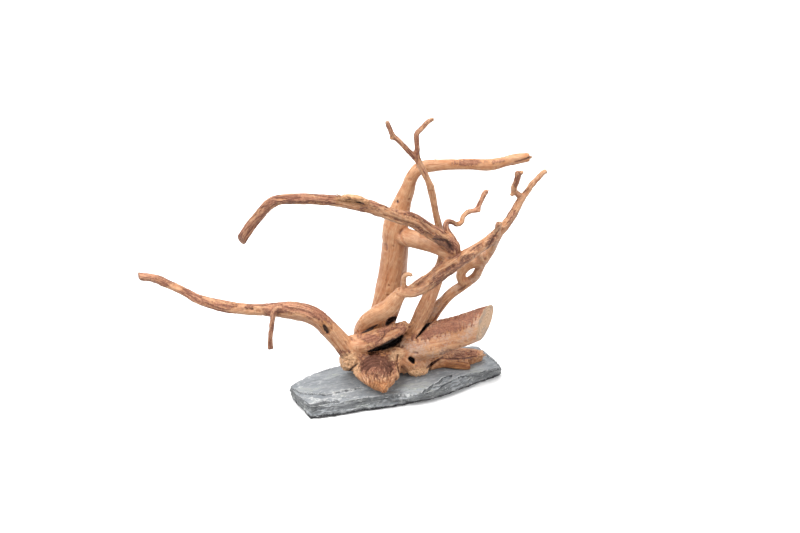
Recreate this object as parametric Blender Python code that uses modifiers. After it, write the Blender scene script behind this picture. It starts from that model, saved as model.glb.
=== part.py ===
"""Spiderwood root on a slate slab.

A gnarled, stripped azalea root stands on a cleaved slab of slate. One countersunk
screw comes up through the slab and holds the root from below.

Frame: +Z up, origin at the centre of the slab's underside, +X along the slab.

The root is laid out from its front elevation. Every station of a branch is
(across, up, back, thickness) in millimetres. across and up are read square to a
line of sight that looks down on the slab, with the origin at 0, 0. back is how
far the station lies behind the upright plane through the origin that faces the
same way. Thickness is the branch's diameter there.
"""

import math
import random

import bmesh
import bpy
from mathutils import Matrix, Vector, noise

MM = 0.001

# Front elevation: how the line of sight stands to the slab
SIGHT_TURN = math.radians(25.0)
SIGHT_TILT = math.radians(24.0)
SIGHT_DISTANCE = 1500 * MM
SIGHT_CENTRE_UP = 123.5 * MM

# Slate slab
SLAB_HEIGHT = 16 * MM
SLAB_SEED = 7
LEAF_TOPS = (2.6, 6.2, 9.6, 12.2, 14.5, 16.0)
LEAF_LAP = 1.0
CHIP_DEPTH = 1.2
CHIPS_PER_SIDE = 3

# Root against slab and screw
REST_GAP = 0.3 * MM
SCREW_SPOT = Vector((-4 * MM, 8 * MM, 0))
SCREW_LENGTH = 34 * MM
SCREW_SINK = 0.8 * MM
SCREW_HEAD_RADIUS = 4.2 * MM
SCREW_HEAD_HEIGHT = 2.6 * MM
SCREW_SHANK_RADIUS = 2.0 * MM
THREAD_DEPTH = 0.45 * MM
THREAD_PITCH = 1.9 * MM
THREAD_START = 17 * MM

# Fineness of the wood's surface
FUSE_VOXEL = 1.0 * MM
FUSE_SMOOTHING = 3
ROOT_TRIANGLES = 8600
SECTION_POINTS = 20
TWIST_PER_METRE = 14.0
SWELL_SIZE = 16 * MM
SWELL_HEIGHT = 0.75 * MM
HEEL_CENTRE = (-21, 16, -30)
HEEL_REACH = 26 * MM
RIPPLE_PITCH = 6.9 * MM
RIPPLE_HEIGHT = 0.5 * MM
SHARP_ANGLE = math.radians(50)

# Each branch is a list of stations, thick end first unless it grows out of another
BRANCHES = {
    "trunk": [
        (-20, 40, 22, 28), (-19, 68, 25, 27), (-14.5, 83, 27, 29), (-10.5, 96, 28, 31),
        (-8.5, 110, 28, 29.6), (-6.2, 128, 28, 28.4), (-4.5, 145, 27, 27.4), (-3.5, 164, 26, 25.6),
        (0.5, 184, 25, 18.8), (7, 201, 23, 14), (12, 213, 22, 12.6), (20, 222, 22, 12),
        (31, 224, 24, 12), (43, 225, 27, 10.8), (67, 225.6, 33, 10.8), (91, 225.3, 40, 12.4),
        (103, 228, 43, 11.2), (115.5, 231, 46, 11.8), (129, 233, 50, 10),
    ],
    "elbow_limb": [
        (-2, 156, 22, 18), (8.6, 152, 14, 18), (19, 149, 6, 16.6), (28, 145.5, 1, 14.2),
        (37, 142, -3, 13), (46, 139, -7, 14.4), (53, 138, -9, 13),
    ],
    "upper_left_reach": [
        (53, 136, -9, 13), (52, 143, -10, 16), (39, 153, -15, 14.6), (26, 161.5, -20, 14.4),
        (13.4, 169.5, -24, 14.6),
        (-4, 173.4, -28, 13.6), (-20, 179.5, -32, 13.6), (-36, 184.4, -36, 13.4),
        (-55, 188.5, -40, 11.8),
        (-74.3, 190, -43, 10.8), (-98.3, 191, -45, 11.2), (-117.4, 190.6, -46, 10.8),
        (-127.3, 188, -46, 11.8), (-140, 176, -45, 11.2), (-150, 163.5, -43, 10), (-158, 151, -41, 9.8),
    ],
    "split_flake": [
        (-61, 192, -42, 2.6), (-52, 193, -43, 4.6), (-42, 191.5, -42, 5), (-32, 187.5, -39, 3.4),
    ],
    "wavy_twig": [
        (53, 151, -12, 6.6), (47.5, 159.5, -8, 5.6), (46.6, 167.5, -5, 4.6), (51.6, 168.2, -2, 4),
        (57.4, 165.7, 2, 4), (61.6, 167.8, 5, 3.8), (62.8, 172.8, 7, 3.8), (66.5, 177, 9, 3.8),
        (71.5, 179, 12, 3.8), (75.7, 179.6, 14, 3.8), (79, 184.8, 16, 3.6), (82.3, 192, 18, 3.8),
        (85.6, 198, 20, 4), (87.7, 199.3, 21, 3),
    ],
    "wavy_twig_spur": [(75, 179.6, 14, 3.2), (80.6, 179.8, 13, 2.2)],
    "rear_stem": [
        (9, 45, 8, 18), (12, 54, 9, 17), (17, 65, 10, 15), (24, 80, 14, 15.4), (29, 92.2, 16, 14.6),
        (33.4, 104, 18, 13.6), (39.6, 120, 20, 12.4), (43.5, 133, 21, 11.4), (42, 150, 19, 8.8),
        (38.8, 163.4, 16, 7.6), (35.5, 178.3, 12, 7.2), (33.4, 190, 9, 7.6), (31.5, 199, 7, 8),
        (29, 207, 5, 7), (24.3, 217, 4, 7), (19.4, 226.7, 4, 7.2), (17, 234, 4, 6),
        (17.2, 242, 5, 4.8), (16.6, 250, 7, 4.6), (16.6, 256, 8, 4.8), (22, 262, 10, 3.8),
        (28.2, 268.5, 12, 3.4), (33.6, 271.3, 14, 2.8),
    ],
    "rear_stem_fork": [
        (18, 229, 4, 6), (14.5, 233, 3, 5), (6.4, 241.2, 0, 4.2), (-1, 249, -3, 3.8),
        (-7, 254, -5, 4.6), (-10.6, 261.8, -6, 3.4), (-13.3, 269, -7, 3.4),
    ],
    "rear_stem_fork_spur": [(-7, 254, -5, 3.4), (-9.8, 250.5, -6, 2.2)],
    "front_limb": [
        (-36, 45, 12, 20), (-38, 55, 9, 19), (-33, 67, 0, 18.2), (-22.6, 74.8, -7, 19),
        (-12, 82, -11, 18.6), (-4, 91, -13, 16), (2, 99, -14, 12.8),
    ],
    "right_diagonal": [
        (0, 99, -14, 13), (6, 98, -15, 12), (13, 98, -16, 11.2), (23.6, 102.5, -17, 11.2),
        (34, 110.6, -18, 12.4), (44.3, 118.6, -18, 12.8), (55.8, 126.7, -17, 12.6),
        (67.2, 135.3, -13, 12.4), (78.7, 143.3, -7, 11.4), (90.2, 151, 0, 10.4), (97, 156.5, 4, 10.4),
        (103, 162, 8, 9.8), (109.7, 171, 12, 8.6), (114.6, 178.6, 16, 8.8), (118.8, 186, 19, 8.4),
        (121.5, 191, 21, 8), (126.2, 196.8, 24, 6.2), (131.2, 204.3, 27, 6.4), (137.8, 211.8, 31, 5.6),
        (142.8, 217.2, 34, 4.4), (146.5, 219.2, 36, 3.4),
    ],
    "diagonal_fork": [
        (121, 192, 21, 6.8), (118.8, 195, 20, 5.6), (114, 199, 18, 5.2), (114.6, 204.3, 16, 5.2),
        (117.5, 211.8, 14, 5.2), (118.4, 218.4, 12, 5.4),
    ],
    "diagonal_fork_heel_spur": [(114.4, 199.5, 18, 3.6), (111, 194, 17, 2.2)],
    "diagonal_fork_tip_spur": [(118.5, 214.5, 13, 3.4), (123, 219, 13, 2.2)],
    "diagonal_knob": [(96, 154, 2, 7.2), (97.5, 160, 0, 5.8), (98.9, 166, -2, 5.4)],
    "dead_twig": [
        (8, 101, -15, 3.4), (19.3, 109.6, -17, 3), (28.2, 115, -17, 2.8), (37.1, 123, -16, 2.8),
        (45.2, 128.4, -14, 2.8), (54, 133.6, -11, 3.2),
    ],
    "hook_twig": [
        (4, 103, -15, 5.2), (3.5, 109, -16, 3.8), (4.5, 113.5, -17, 3.2), (8, 115.8, -18, 3),
        (12.6, 114.6, -19, 2.2),
    ],
    "lower_right_stem": [
        (20, 52, 18, 16), (27, 67, 22, 14), (34, 78.5, 24, 12.4), (42, 87.7, 24, 10.8),
        (51.2, 96.8, 23, 10), (60.4, 103.1, 22, 10), (68.4, 108.3, 21, 9.6), (75.2, 113.6, 20, 9.4),
        (80, 122.6, 18, 9), (85, 131.3, 15, 10), (91.4, 140.5, 11, 9), (96, 149.6, 8, 8.4),
        (100.5, 157.7, 7, 8),
    ],
    "ring_root": [
        (65, 105.5, 21, 7.6), (61, 111, 21, 7.4), (61, 117.5, 20, 7.2), (64.5, 123, 19, 7),
        (70, 126.8, 18, 6.2), (76, 128.6, 17, 6.2), (82, 128, 16, 7),
    ],
    "stem_knob": [(85, 127, 16, 8), (82.6, 133, 13, 11), (80, 138, 10, 7)],
    "sawn_stub": [
        (3, 43, 8, 30), (18, 45.4, 6, 32.4), (31.6, 49.6, 3, 33.6), (49, 55.6, 0, 31.6),
        (66.7, 61.6, -3, 30.8), (86, 68.6, -6, 30), (104, 74.6, -9, 29),
    ],
    "right_foot": [(2, 40, 6, 28), (11, 33, 4, 28), (17, 26, 6, 24), (24, 24, 12, 18)],
    "wedge_front": [(28, 27, 16, 16), (41, 29, 24, 12), (55, 29, 26, 13), (70, 29, 25, 10.5)],
    "wedge_back": [
        (30, 33, 26, 14), (45, 35, 36, 12), (60, 36, 38, 12), (76, 36, 36, 10), (83, 36, 34, 7.5),
    ],
    "heel": [
        (-16, 28, -2, 26), (-21, 25, -14, 28), (-22, 15, -27, 25), (-18, 6, -37, 18),
        (-15.5, -1, -45, 7),
    ],
    "heel_left_toe": [(-32, 32, -8, 24), (-37, 23, -15, 21), (-33, 12, -26, 14)],
    "heel_right_toe": [(-8, 29, -8, 19), (-8, 20, -18, 17), (-5.5, 12, -28, 10)],
    "left_foot": [(-44, 42, 0, 22), (-50, 32, 1, 22), (-49, 24, 4, 18)],
    "lower_left_reach": [
        (-40, 34, -6, 26), (-52, 41, -9, 23), (-62, 50, -11, 20), (-71.5, 60, -12, 19),
        (-80.5, 69, -13, 18.6), (-92, 75, -13, 18.8), (-104.4, 78.4, -12, 18), (-118.5, 79.7, -10, 15.6),
        (-135.3, 80, -8, 11.6), (-150.7, 80.4, -5, 10.8), (-169, 82.4, -2, 10.8), (-185.8, 85.6, 2, 10.8),
        (-202.7, 91, 6, 8.8), (-218.1, 99, 10, 8), (-233.5, 105.8, 14, 8.4), (-244.7, 111.2, 17, 8.6),
        (-259.5, 113.7, 20, 7.8),
    ],
    "hanging_twig": [
        (-119, 82, -15, 5.6), (-124.5, 81, -17, 5.4), (-127, 74, -18, 5), (-128.3, 62.7, -18, 4.4),
        (-129.7, 51.4, -18, 3.8), (-129.7, 40.5, -18, 4.4),
    ],
    "bridge": [
        (-44, 47, -8, 20), (-35, 47.5, -10, 19), (-24, 52, -12, 17.2), (-12.6, 56, -12, 16),
        (-3.4, 60.3, -9, 14), (4, 64.5, -4, 9.6),
    ],
    "crown": [(-44, 44, 8, 22), (-28, 43, 16, 28), (-12, 43, 18, 32), (6, 43, 12, 28)],
    "sole": [(-48, 30, 4, 20), (-28, 27, 2, 20), (-8, 27, 3, 20), (12, 30, 6, 24)],
    "back_toe": [(-14, 42, 20, 28), (-8, 41, 30, 22), (-3, 38, 38, 18)],
}

# Hollows are (across, up, back, width, height, depth) in the same elevation
HOLLOWS = {
    "knot_hole": (-74, 61, -21, 6, 8.5, 11),
    "foot_hole": (11.6, 30, -10, 6.5, 7, 16),
}

# The sawn end: a point on its face and the way it faces (across, up, towards the eye)
SAWN_POINT = (84, 66, -6)
SAWN_FACING = (0.84, -0.30, 0.45)
SAW_BLOCK = 60 * MM
SEAT_BLOCK = 400 * MM

# The slab's outline at five heights, as (across, up) in the same elevation, point for point:
# left end, front edge from left to right, right end, then the back
SLAB_FOOT = [
    (-107, -7), (-101, -14.5), (-95, -21.5), (-89.4, -29), (-70, -26), (-50, -22.5), (-30, -19),
    (-10, -16), (10, -13), (30, -8.5), (50, -2.5), (66, 3.5), (80, 9), (91, 12), (98, 16),
    (94, 23), (84, 31), (74, 35), (56, 32), (0, 23), (-56, 13), (-79, 7), (-96, -2),
]
SLAB_RIM = [
    (-109, -5), (-103, -13), (-97, -20.5), (-89.5, -26.5), (-70, -25), (-50, -22), (-30, -18.8),
    (-10, -15.8), (10, -13), (30, -8.5), (50, -2.5), (66, 3.5), (80, 9.5), (92, 13), (101, 16.5),
    (96, 26), (86, 34), (76, 38), (56, 35), (0, 26), (-56, 16), (-80, 9), (-98, 0),
]
SLAB_LEDGE = [
    (-110, -1), (-105, -6.5), (-98.5, -14), (-90, -20.5), (-70, -18), (-50, -16), (-30, -11.5),
    (-10, -10), (10, -9.5), (30, -6.5), (50, 0), (66, 6.5), (80, 12.5), (91, 17), (101, 21.5),
    (96.5, 28), (86, 37), (76, 42), (57, 39.5), (0, 30), (-56, 20), (-80, 14), (-100, 4),
]
SLAB_SHOULDER = [
    (-110, 3.3), (-106, -1), (-99, -7.5), (-90, -13.8), (-70, -8.5), (-50, -10), (-30, -6),
    (-10, -3), (10, -2), (27, -2.5), (40, 3.5), (54, 10), (66, 14.3), (80, 16.5), (98, 22.3),
    (94, 29), (84, 39), (76, 44), (58, 43), (0, 34), (-56, 24), (-80, 18.5), (-101, 9),
]
SLAB_TOP = [
    (-110, 4.5), (-107, 2.5), (-100, 0), (-90, -1), (-74, -2.5), (-62, -0.5), (-43, 3.5),
    (-20, 3), (5, 2), (25, 2), (38, 6), (54, 11.5), (66, 16), (80, 18), (96, 24),
    (93, 30), (83, 40), (76, 45), (58, 44), (0, 35.5), (-56, 25.5), (-80, 20), (-101, 10),
]
SLAB_LEVELS = ((0, SLAB_FOOT), (3, SLAB_RIM), (8, SLAB_LEDGE), (14.5, SLAB_SHOULDER), (16, SLAB_TOP))

AWAY = Vector((math.sin(SIGHT_TURN), math.cos(SIGHT_TURN), 0))
ACROSS = Vector((math.cos(SIGHT_TURN), -math.sin(SIGHT_TURN), 0))
LINE_UP = AWAY * math.sin(SIGHT_TILT) + Vector((0, 0, math.cos(SIGHT_TILT)))
SIGHT = AWAY * math.cos(SIGHT_TILT) - Vector((0, 0, math.sin(SIGHT_TILT)))
EYE = LINE_UP * SIGHT_CENTRE_UP - SIGHT * SIGHT_DISTANCE


def place(across, up, back):
    """The point in the frame for a station, and how much nearer or further than the origin it is."""
    on_plane = ACROSS * across * MM + LINE_UP * up * MM
    ray = on_plane - EYE
    reach = (back * MM - EYE.dot(AWAY)) / ray.dot(AWAY)
    return EYE + ray * reach, reach


def place_level(across, up, height):
    """The point at a height where the line of sight through (across, up) comes down."""
    ray = ACROSS * across * MM + LINE_UP * up * MM - EYE
    return EYE + ray * ((height * MM - EYE.z) / ray.z)


def clear_scene():
    for obj in list(bpy.data.objects):
        bpy.data.objects.remove(obj)


def new_collection(name):
    collection = bpy.data.collections.new(name)
    bpy.context.scene.collection.children.link(collection)
    return collection


def material(name, colour, roughness, metallic=0.0):
    made = bpy.data.materials.new(name)
    made.use_nodes = True
    shader = made.node_tree.nodes["Principled BSDF"]
    shader.inputs["Base Color"].default_value = (*colour, 1.0)
    shader.inputs["Roughness"].default_value = roughness
    shader.inputs["Metallic"].default_value = metallic
    return made


def mesh_object(name, mesh, collection):
    obj = bpy.data.objects.new(name, mesh)
    collection.objects.link(obj)
    return obj


def solid_mesh(curve_object):
    """The curve's solid as a mesh, its end caps welded to its sides."""
    evaluated = curve_object.evaluated_get(bpy.context.evaluated_depsgraph_get())
    mesh = bpy.data.meshes.new_from_object(evaluated)
    cage = bmesh.new()
    cage.from_mesh(mesh)
    bmesh.ops.remove_doubles(cage, verts=cage.verts, dist=0.01 * MM)
    cage.to_mesh(mesh)
    cage.free()
    mesh.transform(curve_object.matrix_world)
    return mesh


def apply_modifiers(obj):
    evaluated = obj.evaluated_get(bpy.context.evaluated_depsgraph_get())
    mesh = bpy.data.meshes.new_from_object(evaluated)
    obj.modifiers.clear()
    obj.data = mesh


def lobed_section():
    """The outline that every branch is swept from: a round with shallow lobes, as stripped roots have."""
    curve = bpy.data.curves.new("branch_section", "CURVE")
    spline = curve.splines.new("POLY")
    spline.points.add(SECTION_POINTS - 1)
    for index, point in enumerate(spline.points):
        turn = 2 * math.pi * index / SECTION_POINTS
        radius = 1 + 0.055 * math.cos(2 * turn + 0.6) + 0.04 * math.cos(3 * turn)
        point.co = (radius * math.cos(turn) * MM, radius * math.sin(turn) * MM, 0, 1)
    spline.use_cyclic_u = True
    return bpy.data.objects.new("branch_section", curve)


def branch_mesh(name, stations, section, collection):
    """One branch: a smooth line through its stations, swept with the lobed section."""
    curve = bpy.data.curves.new(name, "CURVE")
    curve.dimensions = "3D"
    curve.resolution_u = 5
    curve.bevel_mode = "OBJECT"
    curve.bevel_object = section
    curve.use_fill_caps = True
    spline = curve.splines.new("BEZIER")
    spline.bezier_points.add(len(stations) - 1)
    spline.radius_interpolation = "CARDINAL"
    run = 0.0
    before = None
    for point, (across, up, back, thickness) in zip(spline.bezier_points, stations):
        spot, reach = place(across, up, back)
        run += (spot - before).length if before else 0.0
        before = spot
        point.co = spot
        point.radius = thickness / 2 * reach
        point.tilt = run * TWIST_PER_METRE
        point.handle_left_type = "AUTO"
        point.handle_right_type = "AUTO"
    obj = bpy.data.objects.new(name, curve)
    collection.objects.link(obj)
    bpy.context.view_layer.update()
    mesh = solid_mesh(obj)
    bpy.data.objects.remove(obj)
    return mesh


def gathered(meshes):
    """All the branches in one mesh, still passing through each other."""
    cage = bmesh.new()
    for mesh in meshes:
        cage.from_mesh(mesh)
    whole = bpy.data.meshes.new("root_cage")
    cage.to_mesh(whole)
    cage.free()
    return whole


def weather(mesh):
    """Raises low swellings and dents all over the wood, and ripples on the torn heel."""
    mesh.update()
    heel, _ = place(*HEEL_CENTRE)
    shifts = []
    for vertex in mesh.vertices:
        swell = noise.fractal(vertex.co / SWELL_SIZE, 0.8, 2.0, 3) * SWELL_HEIGHT
        reach = (vertex.co - heel).length
        fade = min(1.0, 2 * max(0.0, 1 - reach / HEEL_REACH))
        ripple = math.sin(2 * math.pi * reach / RIPPLE_PITCH) * RIPPLE_HEIGHT * fade
        shifts.append(vertex.normal * (swell + ripple))
    for vertex, shift in zip(mesh.vertices, shifts):
        vertex.co += shift


def hollow_cutter(name, spec, cutters):
    across, up, back, width, height, depth = spec
    centre, _ = place(across, up, back)
    cage = bmesh.new()
    bmesh.ops.create_uvsphere(cage, u_segments=14, v_segments=8, radius=0.5)
    size = Matrix.Diagonal((width * MM, depth * MM, height * MM, 1))
    turn = Matrix.Rotation(-SIGHT_TURN, 4, "Z")
    cage.transform(Matrix.Translation(centre) @ turn @ size)
    mesh = bpy.data.meshes.new(name)
    cage.to_mesh(mesh)
    cage.free()
    return mesh_object(name, mesh, cutters)


def block_cutter(name, placing, size, cutters):
    """A box whose top face is centred on the placing matrix and which reaches down from it."""
    cage = bmesh.new()
    bmesh.ops.create_cube(cage, size=size)
    cage.transform(placing @ Matrix.Translation((0, 0, -size / 2)))
    mesh = bpy.data.meshes.new(name)
    cage.to_mesh(mesh)
    cage.free()
    return mesh_object(name, mesh, cutters)


def turned_mesh(profile, steps, name):
    """A solid turned round the Z axis from (radius, height) points that run down its outer side."""
    mesh = bpy.data.meshes.new(name)
    edges = [(i, i + 1) for i in range(len(profile) - 1)]
    mesh.from_pydata([(radius, 0, height) for radius, height in profile], edges, [])
    obj = bpy.data.objects.new(name, mesh)
    bpy.context.scene.collection.objects.link(obj)
    turning = obj.modifiers.new("turn", "SCREW")
    turning.steps = steps
    turning.render_steps = steps
    turning.use_merge_vertices = True
    turning.merge_threshold = 0.01 * MM
    bpy.context.view_layer.update()
    apply_modifiers(obj)
    mesh = obj.data
    bpy.data.objects.remove(obj)
    return mesh


def screw_profile():
    """The screw from its tip down to its countersunk head, with ring threads on the upper part."""
    base = SCREW_SINK
    tip = base + SCREW_LENGTH
    crests = int((SCREW_LENGTH - THREAD_START) / THREAD_PITCH)
    points = [(0, tip)]
    for index in range(crests):
        crest = tip - (index + 1) * THREAD_PITCH
        taper = min(1.0, (index + 1) / 2.5)
        points.append((SCREW_SHANK_RADIUS * taper, crest))
        points.append(((SCREW_SHANK_RADIUS - THREAD_DEPTH) * taper, crest - THREAD_PITCH * 0.45))
    points.append((SCREW_SHANK_RADIUS, base + THREAD_START - THREAD_PITCH))
    points.append((SCREW_SHANK_RADIUS, base + SCREW_HEAD_HEIGHT))
    points.append((SCREW_HEAD_RADIUS, base + 0.5 * MM))
    points.append((SCREW_HEAD_RADIUS, base))
    points.append((0, base))
    return points


def hole_profile(top):
    """The bore for the screw: its shape with clearance, open through the underside."""
    bore = SCREW_SHANK_RADIUS + REST_GAP
    mouth = SCREW_HEAD_RADIUS + REST_GAP
    shoulder = SCREW_SINK + SCREW_HEAD_HEIGHT + REST_GAP
    return [(0, top), (bore, top), (bore, shoulder), (mouth, SCREW_SINK + 0.8 * MM), (mouth, -2 * MM), (0, -2 * MM)]


def cut(obj, cutter):
    step = obj.modifiers.new(cutter.name, "BOOLEAN")
    step.operation = "DIFFERENCE"
    step.object = cutter
    bpy.context.view_layer.update()
    apply_modifiers(obj)


def hide_cutters(cutters):
    for obj in cutters.objects:
        obj.hide_render = True
        obj.display_type = "WIRE"


def make_root(parts, cutters, bore):
    section = lobed_section()
    meshes = [branch_mesh(name, stations, section, parts) for name, stations in BRANCHES.items()]
    bpy.data.objects.remove(section)
    root = mesh_object("spiderwood_root", gathered(meshes), parts)

    # Voxels drop what lies inside the branches and grow their crotches together
    fuse = root.modifiers.new("fuse", "REMESH")
    fuse.mode = "VOXEL"
    fuse.voxel_size = FUSE_VOXEL
    soften = root.modifiers.new("soften", "SMOOTH")
    soften.factor = 0.5
    soften.iterations = FUSE_SMOOTHING
    bpy.context.view_layer.update()
    apply_modifiers(root)
    weather(root.data)

    thin = root.modifiers.new("thin", "DECIMATE")
    thin.ratio = ROOT_TRIANGLES / (2 * len(root.data.polygons))
    thin.use_collapse_triangulate = True
    bpy.context.view_layer.update()
    apply_modifiers(root)

    face_point, _ = place(*SAWN_POINT)
    across, up, nearer = SAWN_FACING
    facing = (ACROSS * across + LINE_UP * up - SIGHT * nearer).normalized()
    turn = facing.to_track_quat("-Z", "Y").to_matrix().to_4x4()
    saw = block_cutter("saw_cut", Matrix.Translation(face_point) @ turn, SAW_BLOCK, cutters)
    seat = Matrix.Translation((0, 0, SLAB_HEIGHT + REST_GAP))
    ground = block_cutter("seat_cut", seat, SEAT_BLOCK, cutters)
    for name, spec in HOLLOWS.items():
        cut(root, hollow_cutter(name, spec, cutters))
    for cutter in (saw, ground, bore):
        cut(root, cutter)
    root.data.shade_smooth()
    root.data.set_sharp_from_angle(angle=SHARP_ANGLE)
    root.data.materials.clear()
    root.data.materials.append(material("stripped_wood", (0.52, 0.31, 0.17), 0.75))
    return root


def slab_outline(height):
    """The slab's outline at a height, between the two given outlines that lie below and above it."""
    for (low, lower), (high, upper) in zip(SLAB_LEVELS, SLAB_LEVELS[1:]):
        if height <= high:
            break
    share = (height - low) / (high - low)
    return [
        place_level(*start, low).lerp(place_level(*end, high), share).to_2d()
        for start, end in zip(lower, upper)
    ]


def chipped(outline, source):
    """The outline with each side broken into short runs that wander inwards."""
    points = []
    for start, end in zip(outline, outline[1:] + outline[:1]):
        run = end - start
        outward = Vector((run.y, -run.x)).normalized()
        for step in range(CHIPS_PER_SIDE):
            wander = source.uniform(-CHIP_DEPTH, 0) * MM if step else 0.0
            points.append(start + run * step / CHIPS_PER_SIDE + outward * wander)
    return points


def leaf_mesh(name, outline, low, high, collection):
    """One leaf of slate: a flat outline with the leaf's thickness."""
    curve = bpy.data.curves.new(name, "CURVE")
    curve.dimensions = "2D"
    curve.fill_mode = "BOTH"
    curve.extrude = (high - low) / 2 * MM
    spline = curve.splines.new("POLY")
    spline.points.add(len(outline) - 1)
    for point, spot in zip(spline.points, outline):
        point.co = (spot.x, spot.y, 0, 1)
    spline.use_cyclic_u = True
    obj = bpy.data.objects.new(name, curve)
    obj.location.z = (high + low) / 2 * MM
    collection.objects.link(obj)
    bpy.context.view_layer.update()
    mesh = solid_mesh(obj)
    bpy.data.objects.remove(obj)
    return mesh


def make_slab(parts, bore):
    """A cleaved slab: leaves of slate that step back towards the top and stay one stone."""
    source = random.Random(SLAB_SEED)
    leaves = bpy.data.collections.new("slate_leaves")
    bottom = 0.0
    slab = None
    for index, top in enumerate(LEAF_TOPS):
        level = top if index == len(LEAF_TOPS) - 1 else (top + LEAF_TOPS[index - 1] * (index > 0)) / 2
        mesh = leaf_mesh(f"leaf_{index}", chipped(slab_outline(level), source), bottom, top, parts)
        if slab is None:
            slab = mesh_object("slate_slab", mesh, parts)
        else:
            mesh_object(f"leaf_{index}", mesh, leaves)
        bottom = top - LEAF_LAP
    join = slab.modifiers.new("one_stone", "BOOLEAN")
    join.operation = "UNION"
    join.operand_type = "COLLECTION"
    join.collection = leaves
    bpy.context.view_layer.update()
    apply_modifiers(slab)
    for leaf in list(leaves.objects):
        bpy.data.objects.remove(leaf)
    cut(slab, bore)
    slab.data.materials.clear()
    slab.data.materials.append(material("slate", (0.25, 0.28, 0.30), 0.7))
    return slab


def make_screw(parts):
    screw = mesh_object("mounting_screw", turned_mesh(screw_profile(), 16, "mounting_screw"), parts)
    screw.location = SCREW_SPOT
    screw.data.materials.append(material("stainless_steel", (0.62, 0.62, 0.6), 0.35, 1.0))
    return screw


def main():
    clear_scene()
    parts = new_collection("spiderwood_root_on_slate")
    cutters = new_collection("cutters")
    top = SCREW_SINK + SCREW_LENGTH + 2 * MM
    bore = mesh_object("screw_bore", turned_mesh(hole_profile(top), 16, "screw_bore"), cutters)
    bore.location = SCREW_SPOT
    bpy.context.view_layer.update()
    make_slab(parts, bore)
    make_root(parts, cutters, bore)
    make_screw(parts)
    hide_cutters(cutters)


main()
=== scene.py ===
"""A spiderwood root on a slate slab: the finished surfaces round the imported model.

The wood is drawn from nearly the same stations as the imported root. Its limbs are
swept and grown together by voxels, pressed in at the hollows and cracks, and then
given flutes, bark and knots along the grain of whichever limb is nearest.
"""

import math
import random

import bpy
import numpy as np
from mathutils import Matrix, Vector


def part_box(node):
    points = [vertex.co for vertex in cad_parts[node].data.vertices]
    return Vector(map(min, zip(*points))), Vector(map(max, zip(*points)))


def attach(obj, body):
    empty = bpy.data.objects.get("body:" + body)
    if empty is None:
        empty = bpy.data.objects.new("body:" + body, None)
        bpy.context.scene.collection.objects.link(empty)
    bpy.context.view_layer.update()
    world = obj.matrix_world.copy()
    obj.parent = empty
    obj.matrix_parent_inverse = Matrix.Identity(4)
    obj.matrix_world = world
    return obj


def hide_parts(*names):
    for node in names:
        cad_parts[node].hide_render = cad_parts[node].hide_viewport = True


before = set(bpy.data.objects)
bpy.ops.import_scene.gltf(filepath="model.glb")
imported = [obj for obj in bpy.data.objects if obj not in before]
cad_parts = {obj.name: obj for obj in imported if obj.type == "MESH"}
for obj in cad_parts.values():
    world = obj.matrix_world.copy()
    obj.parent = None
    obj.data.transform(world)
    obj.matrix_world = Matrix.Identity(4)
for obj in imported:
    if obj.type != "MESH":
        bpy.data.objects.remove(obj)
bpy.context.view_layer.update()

MM = 0.001

# Front elevation: how the line of sight stands to the slab
SIGHT_TURN = math.radians(25.0)
SIGHT_TILT = math.radians(24.0)
SIGHT_DISTANCE = 1500 * MM
SIGHT_CENTRE_UP = 123.5 * MM
SIGHT_LENS = 67.5
SENSOR_WIDTH = 36.0

AWAY = Vector((math.sin(SIGHT_TURN), math.cos(SIGHT_TURN), 0))
ACROSS = Vector((math.cos(SIGHT_TURN), -math.sin(SIGHT_TURN), 0))
LINE_UP = AWAY * math.sin(SIGHT_TILT) + Vector((0, 0, math.cos(SIGHT_TILT)))
SIGHT = AWAY * math.cos(SIGHT_TILT) - Vector((0, 0, math.sin(SIGHT_TILT)))
EYE = LINE_UP * SIGHT_CENTRE_UP - SIGHT * SIGHT_DISTANCE

# Wood surface
SLAB_HEIGHT = 16 * MM
SEAT_HEIGHT = 16.1 * MM
GROW_VOXEL = 0.9 * MM
FINE_VOXEL = 0.75 * MM
ROOT_TRIANGLES = 194000
SECTION_POINTS = 20
TWIST_PER_METRE = 14.0
GRAIN_TWIST = 9.0
SAMPLE_STEP = 1.5 * MM
BLEND_REACH = 1.4 * MM
SLENDER = 7.2
SLENDER_GAIN = 0.42
LIMB_OFFSET = 37.0

# Slate surface
SLATE_VOXEL = 0.75 * MM
SLATE_TRIANGLES = 150000

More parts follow.
